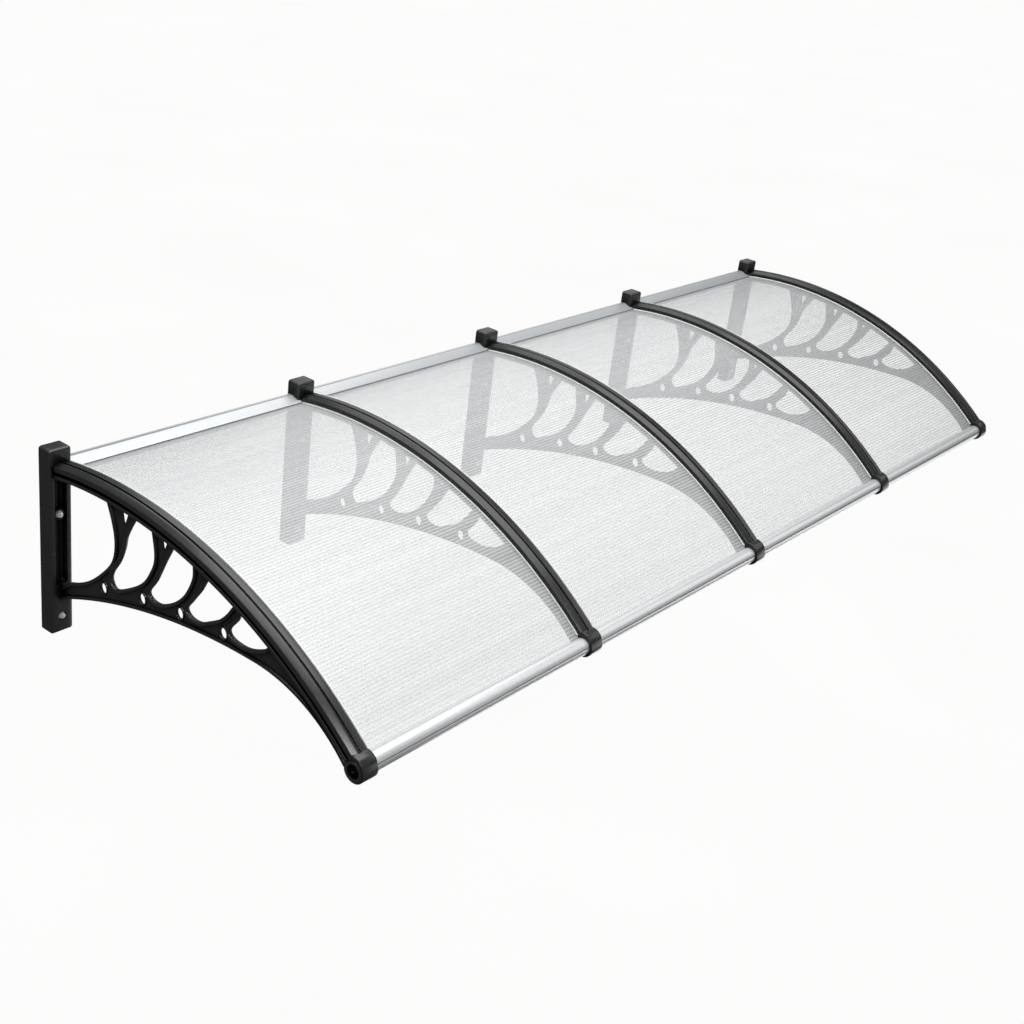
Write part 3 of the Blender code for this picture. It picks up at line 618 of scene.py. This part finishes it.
def boltCutters():
    v = post
    cutters = []
    for height, seat in zip(v["boltHeights"], v["boltSeats"]):
        spot = (0, 0.01, foot + height)
        profile = [(0, 0), (0, v["boltHole"]), (seat + 0.01, v["boltHole"]), (seat + 0.01, v["seatRadius"]),
                   (0.08, v["seatRadius"] + 0.004), (0.08, 0)]
        cutters.append(turned("seat", profile, spot, (0, -1, 0), 48))
    return cutters


armSection = dict(
    half=0.020, core=0.006,
    slopeDrop=0.0078, slopeIn=0.0085, slopeTop=0.0006,   # the sloped left shoulder, which catches the light
    grooveLeft=-0.005, grooveRight=0.0, grooveDepth=0.004,
    shoulder=0.004,
)


def armOutline():
    # (x, radius) pairs with a fillet each
    v = armSection
    top, bottom = arch["radius"], arch["flangeBottom"]
    slotTop, slotBottom = arch["slotTop"], arch["slotBottom"]
    half, core = v["half"], v["core"]
    grooveFloor = top - v["grooveDepth"]
    corners = [
        (-half, slotTop, 0.0012), (-half, top - v["slopeDrop"], 0.0030),
        (-v["slopeIn"], top - v["slopeTop"], 0.0024), (v["grooveLeft"], top, 0.0010),
        (v["grooveLeft"], grooveFloor, 0.0008), (v["grooveRight"], grooveFloor, 0.0008),
        (v["grooveRight"], top, 0.0010), (half - v["shoulder"], top - 0.0004, 0.0030),
        (half, top - v["shoulder"], 0.0030), (half, slotTop, 0.0012),
        (core, slotTop, 0.0006), (core, slotBottom, 0.0006), (half, slotBottom, 0.0012),
        (half, bottom, 0.0022), (-half, bottom, 0.0022), (-half, slotBottom, 0.0012),
        (-core, slotBottom, 0.0006), (-core, slotTop, 0.0006),
    ]
    return filleted(corners, 4)


def sectionObject(outline):
    # A closed ring of (x, radius) pairs, laid down as the sweep reads it
    mesh = bpy.data.meshes.new("section")
    count = len(outline)
    edges = [(k, (k + 1) % count) for k in range(count)]
    mesh.from_pydata([(x, -radius, 0) for x, radius in outline], edges, [])
    return newObject("section", mesh)


def armSolid(tree):
    section = sectionObject(armOutline())
    first = archAngle(arch["radius"], post["depth"] / 2)
    arm = grownPiece("arm", tree, {"Section": section, "First": first, "Last": hubAngle, "Stations": 73,
                                   **archPlace, "Material": plasticFinish})
    bpy.data.objects.remove(section)
    return arm


hubShape = dict(
    radius=0.027, half=0.021, socketWall=0.003, socket=0.021, fillet=0.0030, slotReach=0.054, slotSide=0.05,
    # squared top and front, (out, up, fillet) from the axis; the last corner only gives a direction
    corners=((-0.020, 0.030, 0.004), (-0.004, 0.033, 0.004), (0.009, 0.0305, 0.024), (0.0208, 0.0208, 0.022),
             (0.027, -0.002, 0.006)),
    roundTurn=200, roundSteps=29,
)


def hubSolid():
    v = hubShape
    steps = 6
    corners = [(hub.x + out, hub.y + up, fillet) for out, up, fillet in v["corners"]]
    outline = filleted(corners, steps)[:-steps - 1]
    for k in range(v["roundSteps"] + 1):
        angle = -radians(v["roundTurn"] * k / v["roundSteps"])
        outline.append((hub.x + v["radius"] * cos(angle), hub.y + v["radius"] * sin(angle)))
    solid = prism("hub", outline, (-v["half"], v["half"]))
    return bevelled(solid, v["fillet"], 4, radians(60))


def hubCutters():
    v = hubShape
    cutters = []
    stations = [hubAngle - v["slotReach"] / arch["radius"] * k / 6 for k in range(7)]
    band = [onArch(arch["slotTop"], a) for a in stations]
    band += [onArch(arch["slotBottom"], a) for a in stations[::-1]]
    for side in (-1, 1):
        start = place(side * v["socketWall"], hub.x, hub.y)
        cutters.append(rod("socket", v["socket"], (0, v["half"]), start, (side, 0, 0), 72))
        cutters.append(prism("slot", band, sorted((side * armSection["core"], side * v["slotSide"]))))
    return cutters


scroll = dict(
    plate=0.0012,            # half thickness of the plate between the lips
    # the lower edge, from inside the post to inside the hub
    peak=(0.684, 0.223), rearRadius=1.586, frontRadius=0.363, rearOut=0.019, beforeHub=0.0405, intoHub=0.0135,
    step=0.0035, holeStep=0.0025,                # spacing of points along the edges
    intoFlange=0.004, intoPost=0.022, plateCover=0.006,
    # openings, each a closed smooth curve through (out, up) in mm; what reaches into post or flange is hidden
    openings=(
        ((16, 138), (77, 144), (143, 178), (204, 234), (229, 276), (230, 330), (204, 398), (176, 425),
         (16, 425)),
        ((311, 403), (274, 343), (264, 306), (248, 267), (224, 230), (223, 207), (245, 199), (319, 245),
         (353, 291), (365, 333), (353, 394), (343, 415)),
        ((437, 391), (406, 343), (372, 274), (349, 240), (357, 226), (388, 226), (430, 250), (462, 282),
         (484, 325), (487, 355), (477, 389)),
        ((549, 361), (510, 307), (486, 274), (471, 252), (484, 239), (512, 239), (540, 253), (574, 275),
         (602, 308), (614, 342)),
        ((648, 328), (626, 293), (603, 262), (614, 247), (658, 245), (703, 263), (722, 284), (730, 296)),
    ),
    feet=((0.1925, 0.180), (0.3252, 0.2115), (0.4485, 0.2312), (0.584, 0.2454)),
    footHalf=(0.0102, 0.0125),
    heads=((0.2655, 0.362, 0.0095), (0.3954, 0.3555, 0.0080), (0.5092, 0.3440, 0.0045)),     # and half width
    headTop=0.010,           # distance of the holes' tops under the arm
    # half thickness at distances from an edge: lips, rings round the holes, and the holes' own edges
    lip=((0.0, 0.0030), (0.0008, 0.0047), (0.0020, 0.0060), (0.0036, 0.0068), (0.0052, 0.0069),
         (0.0068, 0.0063), (0.0082, 0.0050), (0.0092, 0.0032), (0.0100, 0.0012)),
    ring=((0.0, 0.0026), (0.0006, 0.0034), (0.0014, 0.0040), (0.0026, 0.0040), (0.0036, 0.0032),
          (0.0042, 0.0022), (0.0048, 0.0012)),
    edge=((0.0, 0.0009), (0.0006, 0.0012), (0.0016, 0.0012)),
)


def ribUp(out):
    peakOut, peakUp = scroll["peak"]
    radius = scroll["rearRadius"] if out < peakOut else scroll["frontRadius"]
    return peakUp - radius + sqrt(radius ** 2 - (out - peakOut) ** 2)


def evenly(points, step, closed=True):
    # The same line with points a step apart
    line = np.array(list(points) + [points[0]] if closed else points)
    lengths = np.concatenate([[0], np.cumsum(np.linalg.norm(np.diff(line, axis=0), axis=1))])
    count = max(8, int(round(lengths[-1] / step)))
    where = np.linspace(0, lengths[-1], count, endpoint=not closed)
    return np.stack([np.interp(where, lengths, line[:, 0]), np.interp(where, lengths, line[:, 1])], axis=1)


def smoothLoop(points, steps=16):
    # Closed Catmull-Rom curve
    loop = []
    count = len(points)
    for i in range(count):
        a, b, c, d = (Vector(points[(i + k - 1) % count]) for k in range(4))
        for k in range(steps):
            t = k / steps
            bend = (2 * a - 5 * b + 4 * c - d) * t ** 2 + (3 * b - a - 3 * c + d) * t ** 3
            p = 0.5 * (2 * b + (c - a) * t + bend)
            loop.append((p.x, p.y))
    return loop


def keptIn(points, limit, wall):
    # Points brought back to inside the arm's flange and the post
    kept = []
    for out, up in points:
        offset = Vector((max(out, wall) - arch["out"], up - arch["centreUp"]))
        if offset.length > limit:
            offset = offset.normalized() * limit
        kept.append((arch["out"] + offset.x, arch["centreUp"] + offset.y))
    return kept


def offsetLine(line, distance, closed=True):
    # Moved to the right of its direction of travel
    before = np.roll(line, 1, axis=0) if closed else np.concatenate([line[:1], line[:-1]])
    after = np.roll(line, -1, axis=0) if closed else np.concatenate([line[1:], line[-1:]])
    along = after - before
    along /= np.linalg.norm(along, axis=1)[:, None]
    return line + distance * np.stack([along[:, 1], -along[:, 0]], axis=1)


def counterClockwise(line):
    area = np.sum(line[:, 0] * np.roll(line[:, 1], -1) - np.roll(line[:, 0], -1) * line[:, 1])
    return line if area > 0 else line[::-1]


def distancesTo(points, line, closed=True):
    a = line if closed else line[:-1]
    b = np.roll(line, -1, axis=0) if closed else line[1:]
    ab = b - a
    nearest = np.full(len(points), 1e9)
    for start in range(0, len(points), 2000):
        part = points[start:start + 2000, None, :] - a[None]
        t = np.clip(np.sum(part * ab, axis=2) / np.sum(ab * ab, axis=1), 0, 1)
        gap = np.linalg.norm(part - t[:, :, None] * ab, axis=2)
        nearest[start:start + 2000] = gap.min(axis=1)
    return nearest


def insideLoop(points, loop):
    inside = np.zeros(len(points), bool)
    for a, b in zip(loop, np.roll(loop, -1, axis=0)):
        if a[1] == b[1]:
            continue
        crosses = (a[1] > points[:, 1]) != (b[1] > points[:, 1])
        inside ^= crosses & (points[:, 0] < (b[0] - a[0]) * (points[:, 1] - a[1]) / (b[1] - a[1]) + a[0])
    return inside


def scrollLines():
    # Every edge of the plate: (points, closed, profile), openings and holes with the metal on their right
    v = scroll
    lines = []
    for points in v["openings"]:
        loop = smoothLoop([(out / 1000, up / 1000) for out, up in points])
        loop = keptIn(loop, arch["flangeBottom"] + v["intoFlange"], v["intoPost"])
        lines.append((counterClockwise(evenly(loop, v["step"])), True, v["lip"]))
    for out, up in v["feet"]:
        turn = np.linspace(0, 2 * pi, 28, endpoint=False)
        loop = np.stack([out + v["footHalf"][0] * np.cos(turn), up + v["footHalf"][1] * np.sin(turn)], axis=1)
        lines.append((counterClockwise(loop), True, v["ring"]))
    for out, up, half in v["heads"]:
        top = onArch(arch["flangeBottom"], archAngle(arch["flangeBottom"], out))[1] - v["headTop"]
        fall = (out - arch["out"]) / arch["radius"]
        corners = [(out - half, top + half * fall, 0.4 * half), (out + half, top - half * fall, 0.4 * half),
                   (out - half / 4, up, 0.3 * half)]
        lines.append((counterClockwise(evenly(filleted(corners, 4), v["holeStep"])), True, v["edge"]))
    lower = [(out, ribUp(out)) for out in np.linspace(v["rearOut"], hub.x - v["beforeHub"], 280)]
    lower.append((hub.x - v["intoHub"], hub.y - v["intoHub"]))
    lines.append((evenly(lower, v["step"], False)[::-1], False, v["lip"]))
    return lines


def plateOutline(lower):
    hidden = arch["flangeBottom"] + scroll["plateCover"]
    angles = np.linspace(archAngle(hidden, scroll["rearOut"]), archAngle(hidden, hub.x), 60)
    top = [onArch(hidden, a) for a in angles]
    return np.array(list(lower) + top)


def halfThickness(points, lines):
    # The thickest profile at each point, or the thinnest beside a hole with thin edges
    height = np.full(len(points), scroll["plate"])
    for line, closed, profile in lines:
        reach, level = np.array(profile).T
        gap = distancesTo(points, line, closed)
        close = gap < reach[-1]
        bound = np.minimum if level[0] < scroll["plate"] else np.maximum
        height[close] = bound(height[close], np.interp(gap[close], reach, level))
    return height


def scrollSolid():
    lines = scrollLines()
    outline = plateOutline(lines[-1][0])
    coords = []
    edges = []

    def addLine(points, closed, keep=None):
        start = len(coords)
        index = {}
        for k, point in enumerate(points):
            if keep is None or keep[k]:
                index[k] = len(coords)
                coords.append(Vector(point))
        last = len(points) if closed else len(points) - 1
        for k in range(last):
            n = (k + 1) % len(points)
            if k in index and n in index:
                edges.append((index[k], index[n]))

    addLine(outline, True)
    for line, closed, profile in lines[:-1]:
        addLine(line, True)
    holes = [line for line, closed, profile in lines[:-1]]
    for number, (line, closed, profile) in enumerate(lines):
        for reach, level in profile[1:]:
            ring = offsetLine(line, reach, closed)
            keep = insideLoop(ring, outline)
            for other, (otherLine, otherClosed, otherProfile) in enumerate(lines):
                nearest = distancesTo(ring, otherLine, otherClosed)
                limit = reach * 0.97 if other == number else min(reach, otherProfile[-1][0]) + 0.0002
                keep &= nearest >= limit
            for hole in holes:
                keep &= ~insideLoop(ring, hole)
            addLine(ring, closed, keep)
    found = delaunay_2d_cdt(coords, edges, [], 0, 1e-6)
    points = np.array([(p.x, p.y) for p in found[0]])
    faces = np.array(found[2])
    middle = points[faces].mean(axis=1)
    solid = insideLoop(middle, outline)
    for hole in holes:
        solid &= ~insideLoop(middle, hole)
    faces = faces[solid]
    height = halfThickness(points, lines)
    bm = bmesh.new()
    used = sorted(set(faces.ravel().tolist()))
    sides = []
    for side in (1, -1):
        sides.append({k: bm.verts.new((side * height[k], -points[k][0], points[k][1] + foot)) for k in used})
    rims = {}
    for face in faces.tolist():
        for side in sides:
            bm.faces.new([side[k] for k in face])
        for a, b in zip(face, face[1:] + face[:1]):
            key = (min(a, b), max(a, b))
            rims[key] = rims.get(key, 0) + 1
    for (a, b), count in rims.items():
        if count == 1:
            bm.faces.new((sides[0][a], sides[0][b], sides[1][b], sides[1][a]))
    return meshObject("scrollwork", bm)


def makeBrackets():
    body, additions = postSolid()
    additions += [armSolid(armTree()), scrollSolid(), hubSolid()]
    boolean(body, additions, "UNION")
    boolean(body, boltCutters() + hubCutters(), "DIFFERENCE")
    placeCopies(body, bracketX, "moulded_bracket", plasticFinish, "bracket", radians(48))


makeBrackets()
print("brackets made")


# Sheets

sheet = dict(thickness=0.006, skin=0.0006, rib=0.0004, pitch=0.0085, rearGap=0.0005, frontGap=0.0075)


def makeSheets():
    v = sheet
    first = archAngle(slotMiddle, sheetRear + v["rearGap"])
    last = hubAngle - v["frontGap"] / slotMiddle
    flutes = int(round((last - first) * slotMiddle / v["pitch"]))
    sheetFinish = polycarbonateMaterial(first, (last - first) / flutes)
    values = {"Half Width": halfLength("sheet_1"), "First": first, "Last": last, "Middle": slotMiddle,
              "Thickness": v["thickness"], "Skin": v["skin"], "Rib": v["rib"], "Flutes": flutes, **archPlace,
              "Material": sheetFinish}
    model = grownPiece("sheet", sheetTree(), values)
    placeCopies(model, bayX, "twin_wall_sheet", sheetFinish, "sheet")


makeSheets()
print("sheets made")


# White strips along the arms, over the slots that take the edges of the sheets: a painted highlight for the
# glare line there

strip = dict(width=0.0018, below=0.0010, low=0.0022, underTop=0.0010, rearGap=0.008)


def makeStrips():
    v = strip
    radius = arch["slotTop"]
    first = archAngle(radius, sheetRear + v["rearGap"])
    last = hubAngle - hubShape["radius"] / radius
    tree = armTree()
    for number, x in enumerate(bayX, start=1):
        sides = []
        for side, top in ((-1, arch["radius"] - v["underTop"]), (1, radius + v["low"])):
            inner = side * (bay / 2 - armSection["half"])
            outer = inner - side * v["width"]
            outline = filleted([(inner, radius - v["below"], 0.0002), (outer, radius - v["below"], 0.0002),
                                (outer, top, 0.0006), (inner, top, 0.0006)], 2)
            section = sectionObject(outline)
            values = {"Section": section, "First": first, "Last": last, "Stations": 60, **archPlace,
                      "Material": stripFinish}
            sides.append(grownPiece("strip", tree, values))
            bpy.data.objects.remove(section)
        bm = bmesh.new()
        for part in sides:
            bm.from_mesh(part.data)
            bpy.data.objects.remove(part)
        bmesh.ops.translate(bm, verts=bm.verts, vec=(x, 0, 0))
        finishPiece(meshObject(f"glazing_strip_{number}", bm), stripFinish, [])


makeStrips()


# Front bars and wall rails

frontBar = dict(wall=0.0022, pocket=0.014, slot=0.0074, sides=96,
                grooveAngle=18.0, grooveWidth=0.0034, grooveDepth=0.0017)


def barPoint(back, outwards):
    # From the bar's axis, back along the sheet and outwards from it
    return (hub.x - back * cos(hubAngle) + outwards * sin(hubAngle),
            hub.y + back * sin(hubAngle) + outwards * cos(hubAngle))


def makeBars():
    v = frontBar
    shift = slotMiddle - (arch["radius"] - arch["hubDrop"])
    low, high = shift - v["slot"] / 2, shift + v["slot"] / 2
    end = barRadius - v["pocket"]
    mouth = [barPoint(sqrt(barRadius ** 2 - low ** 2), low), barPoint(end, low), barPoint(end, high),
             barPoint(sqrt(barRadius ** 2 - high ** 2), high)]
    start = atan2(mouth[3][1] - hub.y, mouth[3][0] - hub.x)
    finish = atan2(mouth[0][1] - hub.y, mouth[0][0] - hub.x) - 2 * pi
    halfGroove = v["grooveWidth"] / 2 / barRadius
    groove = radians(v["grooveAngle"])
    around = []
    for k in range(1, v["sides"]):
        a = start + (finish - start) * k / v["sides"]
        if abs(a - groove) > 1.6 * halfGroove:
            around.append((a, 0.0))
    around += [(groove + halfGroove, 0.0), (groove + 0.8 * halfGroove, v["grooveDepth"]),
               (groove - 0.8 * halfGroove, v["grooveDepth"]), (groove - halfGroove, 0.0)]
    around.sort(key=lambda item: -item[0])
    outline = list(mouth)
    for a, depth in around:
        outline.append((hub.x + (barRadius - depth) * cos(a), hub.y + (barRadius - depth) * sin(a)))
    inner = barRadius - v["wall"]
    chord = end - v["wall"]
    spread = pi - atan2(sqrt(inner ** 2 - chord ** 2), chord)
    chamber = [barPoint(-inner * cos(a), inner * sin(a)) for a in np.linspace(-spread, spread, 40)]
    half = halfLength("front_bar_1")
    model = prism("bar", outline, (-half, half), [chamber])
    placeCopies(model, bayX, "round_front_bar", aluminiumFinish, "front_bar")


rail = dict(top=0.422, bottom=0.390, lip=0.0035, wall=0.0025, edge=0.0008, slotEdge=0.0004, gap=0.0005,
            grooveOut=0.0135, grooveWidth=0.0018, grooveDepth=0.0012)


def makeRails():
    v = rail
    low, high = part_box("wall_rail_1")
    back, front = -high.y, -low.y
    pocket = post["depth"] + v["gap"]

    def slotUp(radius, out):
        return onArch(radius, archAngle(radius, out))[1]

    slotTops = [(front, slotUp(arch["slotTop"], front)), (pocket, slotUp(arch["slotTop"], pocket))]
    slotBottoms = [(pocket, slotUp(arch["slotBottom"], pocket)), (front, slotUp(arch["slotBottom"], front))]
    lipTop = slotTops[0][1] + v["lip"]
    lipBottom = slotBottoms[1][1] - v["lip"]
    wall = v["wall"]
    grooveEnd = v["grooveOut"] + v["grooveWidth"]
    corners = [
        (back, v["bottom"], v["edge"]), (back, v["top"] - wall, 0.0012), (back + wall, v["top"], 0.0012),
        (v["grooveOut"], v["top"], 0.0), (v["grooveOut"], v["top"] - v["grooveDepth"], 0.0),
        (grooveEnd, v["top"] - v["grooveDepth"], 0.0), (grooveEnd, v["top"], 0.0),
        (post["depth"] / 2, v["top"], 0.003), (front - wall, lipTop, 0.0015),
        (front, lipTop - wall / 2, v["edge"]),
        (*slotTops[0], v["slotEdge"]), (*slotTops[1], 0.0),
        (*slotBottoms[0], 0.0), (*slotBottoms[1], v["slotEdge"]),
        (front, lipBottom, v["edge"]), (front - wall, lipBottom - wall, v["edge"]),
        (post["depth"] - wall, v["bottom"], v["edge"]),
    ]
    chamberFront = post["depth"] - 2 * wall
    chamberTop = v["top"] - 2 * wall
    chamber = [
        (back + wall, v["bottom"] + wall), (back + wall, chamberTop), (post["depth"] / 2, chamberTop),
        (chamberFront, lipTop - 2 * wall), (chamberFront, v["bottom"] + wall),
    ]
    half = halfLength("wall_rail_1")
    model = prism("rail", filleted(corners, 3), (-half, half), [chamber])
    notches = []
    for side in (-1, 1):
        inner = side * (bay / 2 - post["width"] / 2 - v["gap"])
        notches.append(roundedBox("notch", (min(inner, side * bay / 2), -post["depth"] - 0.0003, foot),
                                  (max(inner, side * bay / 2), 0.05, foot + post["height"]), 0.0001, 1))
    boolean(model, notches, "DIFFERENCE")
    placeCopies(model, bayX, "sheet_rail", railFinish, "wall_rail")


makeBars()
makeRails()
for name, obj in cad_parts.items():
    if name.startswith("wall_seal_"):
        obj.data.materials.clear()
        obj.data.materials.append(rubberFinish)
print("bars and rails made")


# End plugs and fixings

plug = dict(flange=0.0225, flangeThick=0.0016, length=0.012, gap=0.0004, clearance=0.0010,
            recess=0.0155, recessDepth=0.0105, edge=0.0007)


def makePlugs():
    v = plug
    seat = v["length"] + v["gap"]
    outer = seat + v["flangeThick"]
    radius = hubShape["socket"] - v["clearance"]
    profile = [
        (0, 0), (0, radius - 0.001), (0.001, radius), (seat, radius), (seat, v["flange"]),
        (outer - v["edge"], v["flange"]), (outer - 0.0002, v["flange"] - 0.4 * v["edge"]),
        (outer, v["flange"] - v["edge"]), (outer, v["recess"] + v["edge"]),
        (outer - 0.0002, v["recess"] + 0.3 * v["edge"]), (outer - v["edge"], v["recess"]),
        (v["length"] - v["recessDepth"], v["recess"] - 0.0008), (v["length"] - v["recessDepth"], 0),
    ]
    for name, x, side in (("left", bracketX[0], -1), ("right", bracketX[-1], 1)):
        start = place(x + side * (hubShape["half"] - v["length"]), hub.x, hub.y)
        piece = turned(f"socket_plug_{name}", profile, start, (side, 0, 0), 72)
        finishPiece(piece, plasticFinish, [f"end_plug_{name}"])


fixing = dict(headFlats=0.013, headHeight=0.0053, shank=0.004, shankInHead=0.002,
              washer=0.0085, washerThick=0.0016, washerEdge=0.0003,
              screwHead=0.0035, screwHeadHeight=0.0022, screwShank=0.0018, screwLength=0.0095)


def hexHead():
    # Hexagon head with a turned chamfer, its shank behind
    v = fixing
    across = v["headFlats"] / sqrt(3)
    corners = [(across * cos(pi / 3 * k), across * sin(pi / 3 * k)) for k in range(6)]
    bm = bmesh.new()
    ends = [[bm.verts.new((a, y, b)) for a, b in corners] for y in (0.0, -v["headHeight"])]
    for k in range(6):
        n = (k + 1) % 6
        bm.faces.new((ends[0][k], ends[0][n], ends[1][n], ends[1][k]))
    for end in ends:
        bm.faces.new(end)
    head = meshObject("hexHead", bm)
    flats = v["headFlats"] / 2
    cone = turned("cone", [(-0.001, 0), (-0.001, across + 0.001), (v["headHeight"] - 0.0012, across + 0.001),
                           (v["headHeight"], flats * 0.93), (v["headHeight"], 0)], (0, 0, 0), (0, -1, 0), 48)
    boolean(head, [cone], "INTERSECT")
    low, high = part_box("upper_bolt_1")
    length = high.y - low.y - v["headHeight"]
    stem = rod("stem", v["shank"], (0, length + v["shankInHead"]), (0, length, 0), (0, -1, 0), 32)
    return boolean(head, [stem], "UNION")


def washerSolid():
    v = fixing
    t, r, e = v["washerThick"], v["washer"], v["washerEdge"]
    outer = turned("washer", [(0, 0), (0, r), (t - e, r), (t, r - e), (t, 0)], (0, 0, 0), (0, -1, 0), 48)
    hole = rod("hole", v["shank"] + e, (-t, 3 * t), (0, 0, 0), (0, -1, 0), 32)
    return boolean(outer, [hole], "DIFFERENCE")


def panScrew():
    v = fixing
    h, r = v["screwHeadHeight"], v["screwHead"]
    profile = [(-h, 0), (-h, r * 0.55), (-h * 0.8, r * 0.82), (-h * 0.45, r * 0.97), (-0.0002, r), (0, r),
               (0, v["screwShank"]), (v["screwLength"] - 0.001, v["screwShank"]),
               (v["screwLength"], v["screwShank"] * 0.5), (v["screwLength"], 0)]
    return turned("panScrew", profile, (0, 0, 0), (0, 0, 1), 24)


def makeFixings():
    tree = fixingTree()

    def rows(name, shape, first, second, count, replaced):
        piece = grownPiece(name, tree, {"Fixing": shape, "Count": count, "First": first, "Step": bay,
                                        "Second Row": second - first, "Material": zincFinish})
        bpy.data.objects.remove(shape)
        finishPiece(piece, zincFinish, replaced)

    def atHeight(node, back):
        low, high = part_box(node)
        return Vector((middleX(node), high.y if back else low.y, (low.z + high.z) / 2))

    def underBar(node):
        low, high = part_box(node)
        return Vector((middleX(node), (low.y + high.y) / 2, low.z + fixing["screwHeadHeight"]))

    count = len(brackets)
    headPlane = Vector((0, fixing["headHeight"], 0))
    rows("wall_bolts", hexHead(), atHeight("lower_bolt_1", False) + headPlane,
         atHeight("upper_bolt_1", False) + headPlane, count,
         [f"{row}_bolt_{k + 1}" for row in ("lower", "upper") for k in range(count)])
    rows("wall_washers", washerSolid(), atHeight("lower_washer_1", True), atHeight("upper_washer_1", True),
         count, [f"{row}_washer_{k + 1}" for row in ("lower", "upper") for k in range(count)])
    rows("bar_screws", panScrew(), underBar("bar_screw_1"), underBar("bar_screw_2"), len(bays),
         [f"bar_screw_{k + 1}" for k in range(2 * len(bays))])


makePlugs()
makeFixings()
print("plugs and fixings made")


# Stage, light and camera

stage = dict(drop=1.2, size=60.0, seen=0.975, under=0.09, around=0.08, cloud=(-0.012, 0.004), cloudScale=0.7,
             tint=(1.0, 1.0, 0.995, 1.0))


def seenOrNot(tree, unseen, seen):
    # One strength for all other light, and another for what the camera sees
    path = addNode(tree, "ShaderNodeLightPath")
    sides = {"Factor": path.outputs["Is Camera Ray"], "A": unseen, "B": seen}
    return nodeOutput(tree, "ShaderNodeMix", sides, data_type="FLOAT")


def makeStage():
    v = stage
    bm = bmesh.new()
    bmesh.ops.create_grid(bm, x_segments=1, y_segments=1, size=v["size"])
    floor = meshObject("studio_floor", bm)
    floor.location.z = cadBox[0].z - v["drop"]
    material = bpy.data.materials.new("pale_studio_floor")
    material.use_nodes = True
    tree = material.node_tree
    tree.nodes.clear()
    coordinates = addNode(tree, "ShaderNodeTexCoord").outputs["Object"]
    low, high = [v["seen"] + change for change in v["cloud"]]
    cloud = ranged(tree, noise(tree, coordinates, v["cloudScale"]), low, high)
    strength = seenOrNot(tree, v["under"], cloud)
    glow = nodeOutput(tree, "ShaderNodeEmission", {"Color": v["tint"], "Strength": strength})
    addNode(tree, "ShaderNodeOutputMaterial", {"Surface": glow})
    floor.data.materials.append(material)
    world = bpy.data.worlds.new("pale_studio")
    bpy.context.scene.world = world
    world.use_nodes = True
    tree = world.node_tree
    tree.nodes.clear()
    strength = seenOrNot(tree, v["around"], v["seen"])
    glow = nodeOutput(tree, "ShaderNodeBackground", {"Color": v["tint"], "Strength": strength})
    addNode(tree, "ShaderNodeOutputWorld", {"Surface": glow})


lights = (
    dict(name="overhead_softbox", spot=(-0.9, -0.7, 3.0), aim=(-0.9, -0.7, 0), size=(4.2, 2.4), power=106.0),
    dict(name="rear_softbox", spot=(0.4, 1.4, 2.9), aim=(0.4, -0.1, 0.2), size=(4.6, 1.4), power=38.0),
    dict(name="low_softbox", spot=(2.2, -2.4, -1.15), aim=(0.6, -1.0, -0.1), size=(4.0, 1.3), power=24.0),
    dict(name="under_softbox", spot=(1.5, -0.85, -1.3), aim=(1.5, -0.85, 0.0), size=(3.4, 0.8), power=16.0),
    dict(name="back_softbox", spot=(3.8, 2.6, 2.4), aim=(0.0, -0.3, 0.2), size=(4.2, 2.6), power=24.0),
    dict(name="right_softbox", spot=(3.9, -2.6, 2.9), aim=(0.0, -0.8, 0.0), size=(3.6, 2.8), power=30.0),
    dict(name="front_softbox", spot=(-3.7, -3.6, 2.9), aim=(-0.4, -0.6, 0.0), size=(1.6, 1.2), power=90.0),
)


def makeLights():
    for v in lights:
        lamp = bpy.data.lights.new(v["name"], "AREA")
        lamp.shape = "RECTANGLE"
        lamp.size, lamp.size_y = v["size"]
        lamp.energy = v["power"]
        obj = newObject(v["name"], lamp)
        obj.location = v["spot"]
        obj.rotation_euler = (Vector(v["aim"]) - Vector(v["spot"])).to_track_quat("-Z", "Y").to_euler()
        obj.visible_camera = False


view = dict(spot=(-3.2230, -2.5587, 1.6377), azimuth=-53.68, elevation=25.02, roll=7.43, lens=52.17)


def makeCamera():
    v = view
    azimuth, elevation, roll = radians(v["azimuth"]), radians(v["elevation"]), radians(v["roll"])
    back = Vector((sin(azimuth) * cos(elevation), -cos(azimuth) * cos(elevation), sin(elevation)))
    right = Vector((cos(azimuth), sin(azimuth), 0))
    up = back.cross(right)
    turnedRight = right * cos(roll) + up * sin(roll)
    turnedUp = up * cos(roll) - right * sin(roll)
    camera = newObject("camera", bpy.data.cameras.new("camera"))
    camera.data.lens = v["lens"]
    camera.data.sensor_width = 36.0
    facing = Matrix((turnedRight, turnedUp, back)).transposed().to_4x4()
    camera.matrix_world = Matrix.Translation(v["spot"]) @ facing
    bpy.context.scene.camera = camera


makeStage()
makeLights()
makeCamera()
bpy.context.scene.view_settings.view_transform = "Standard"
print("stage, lights and camera made")
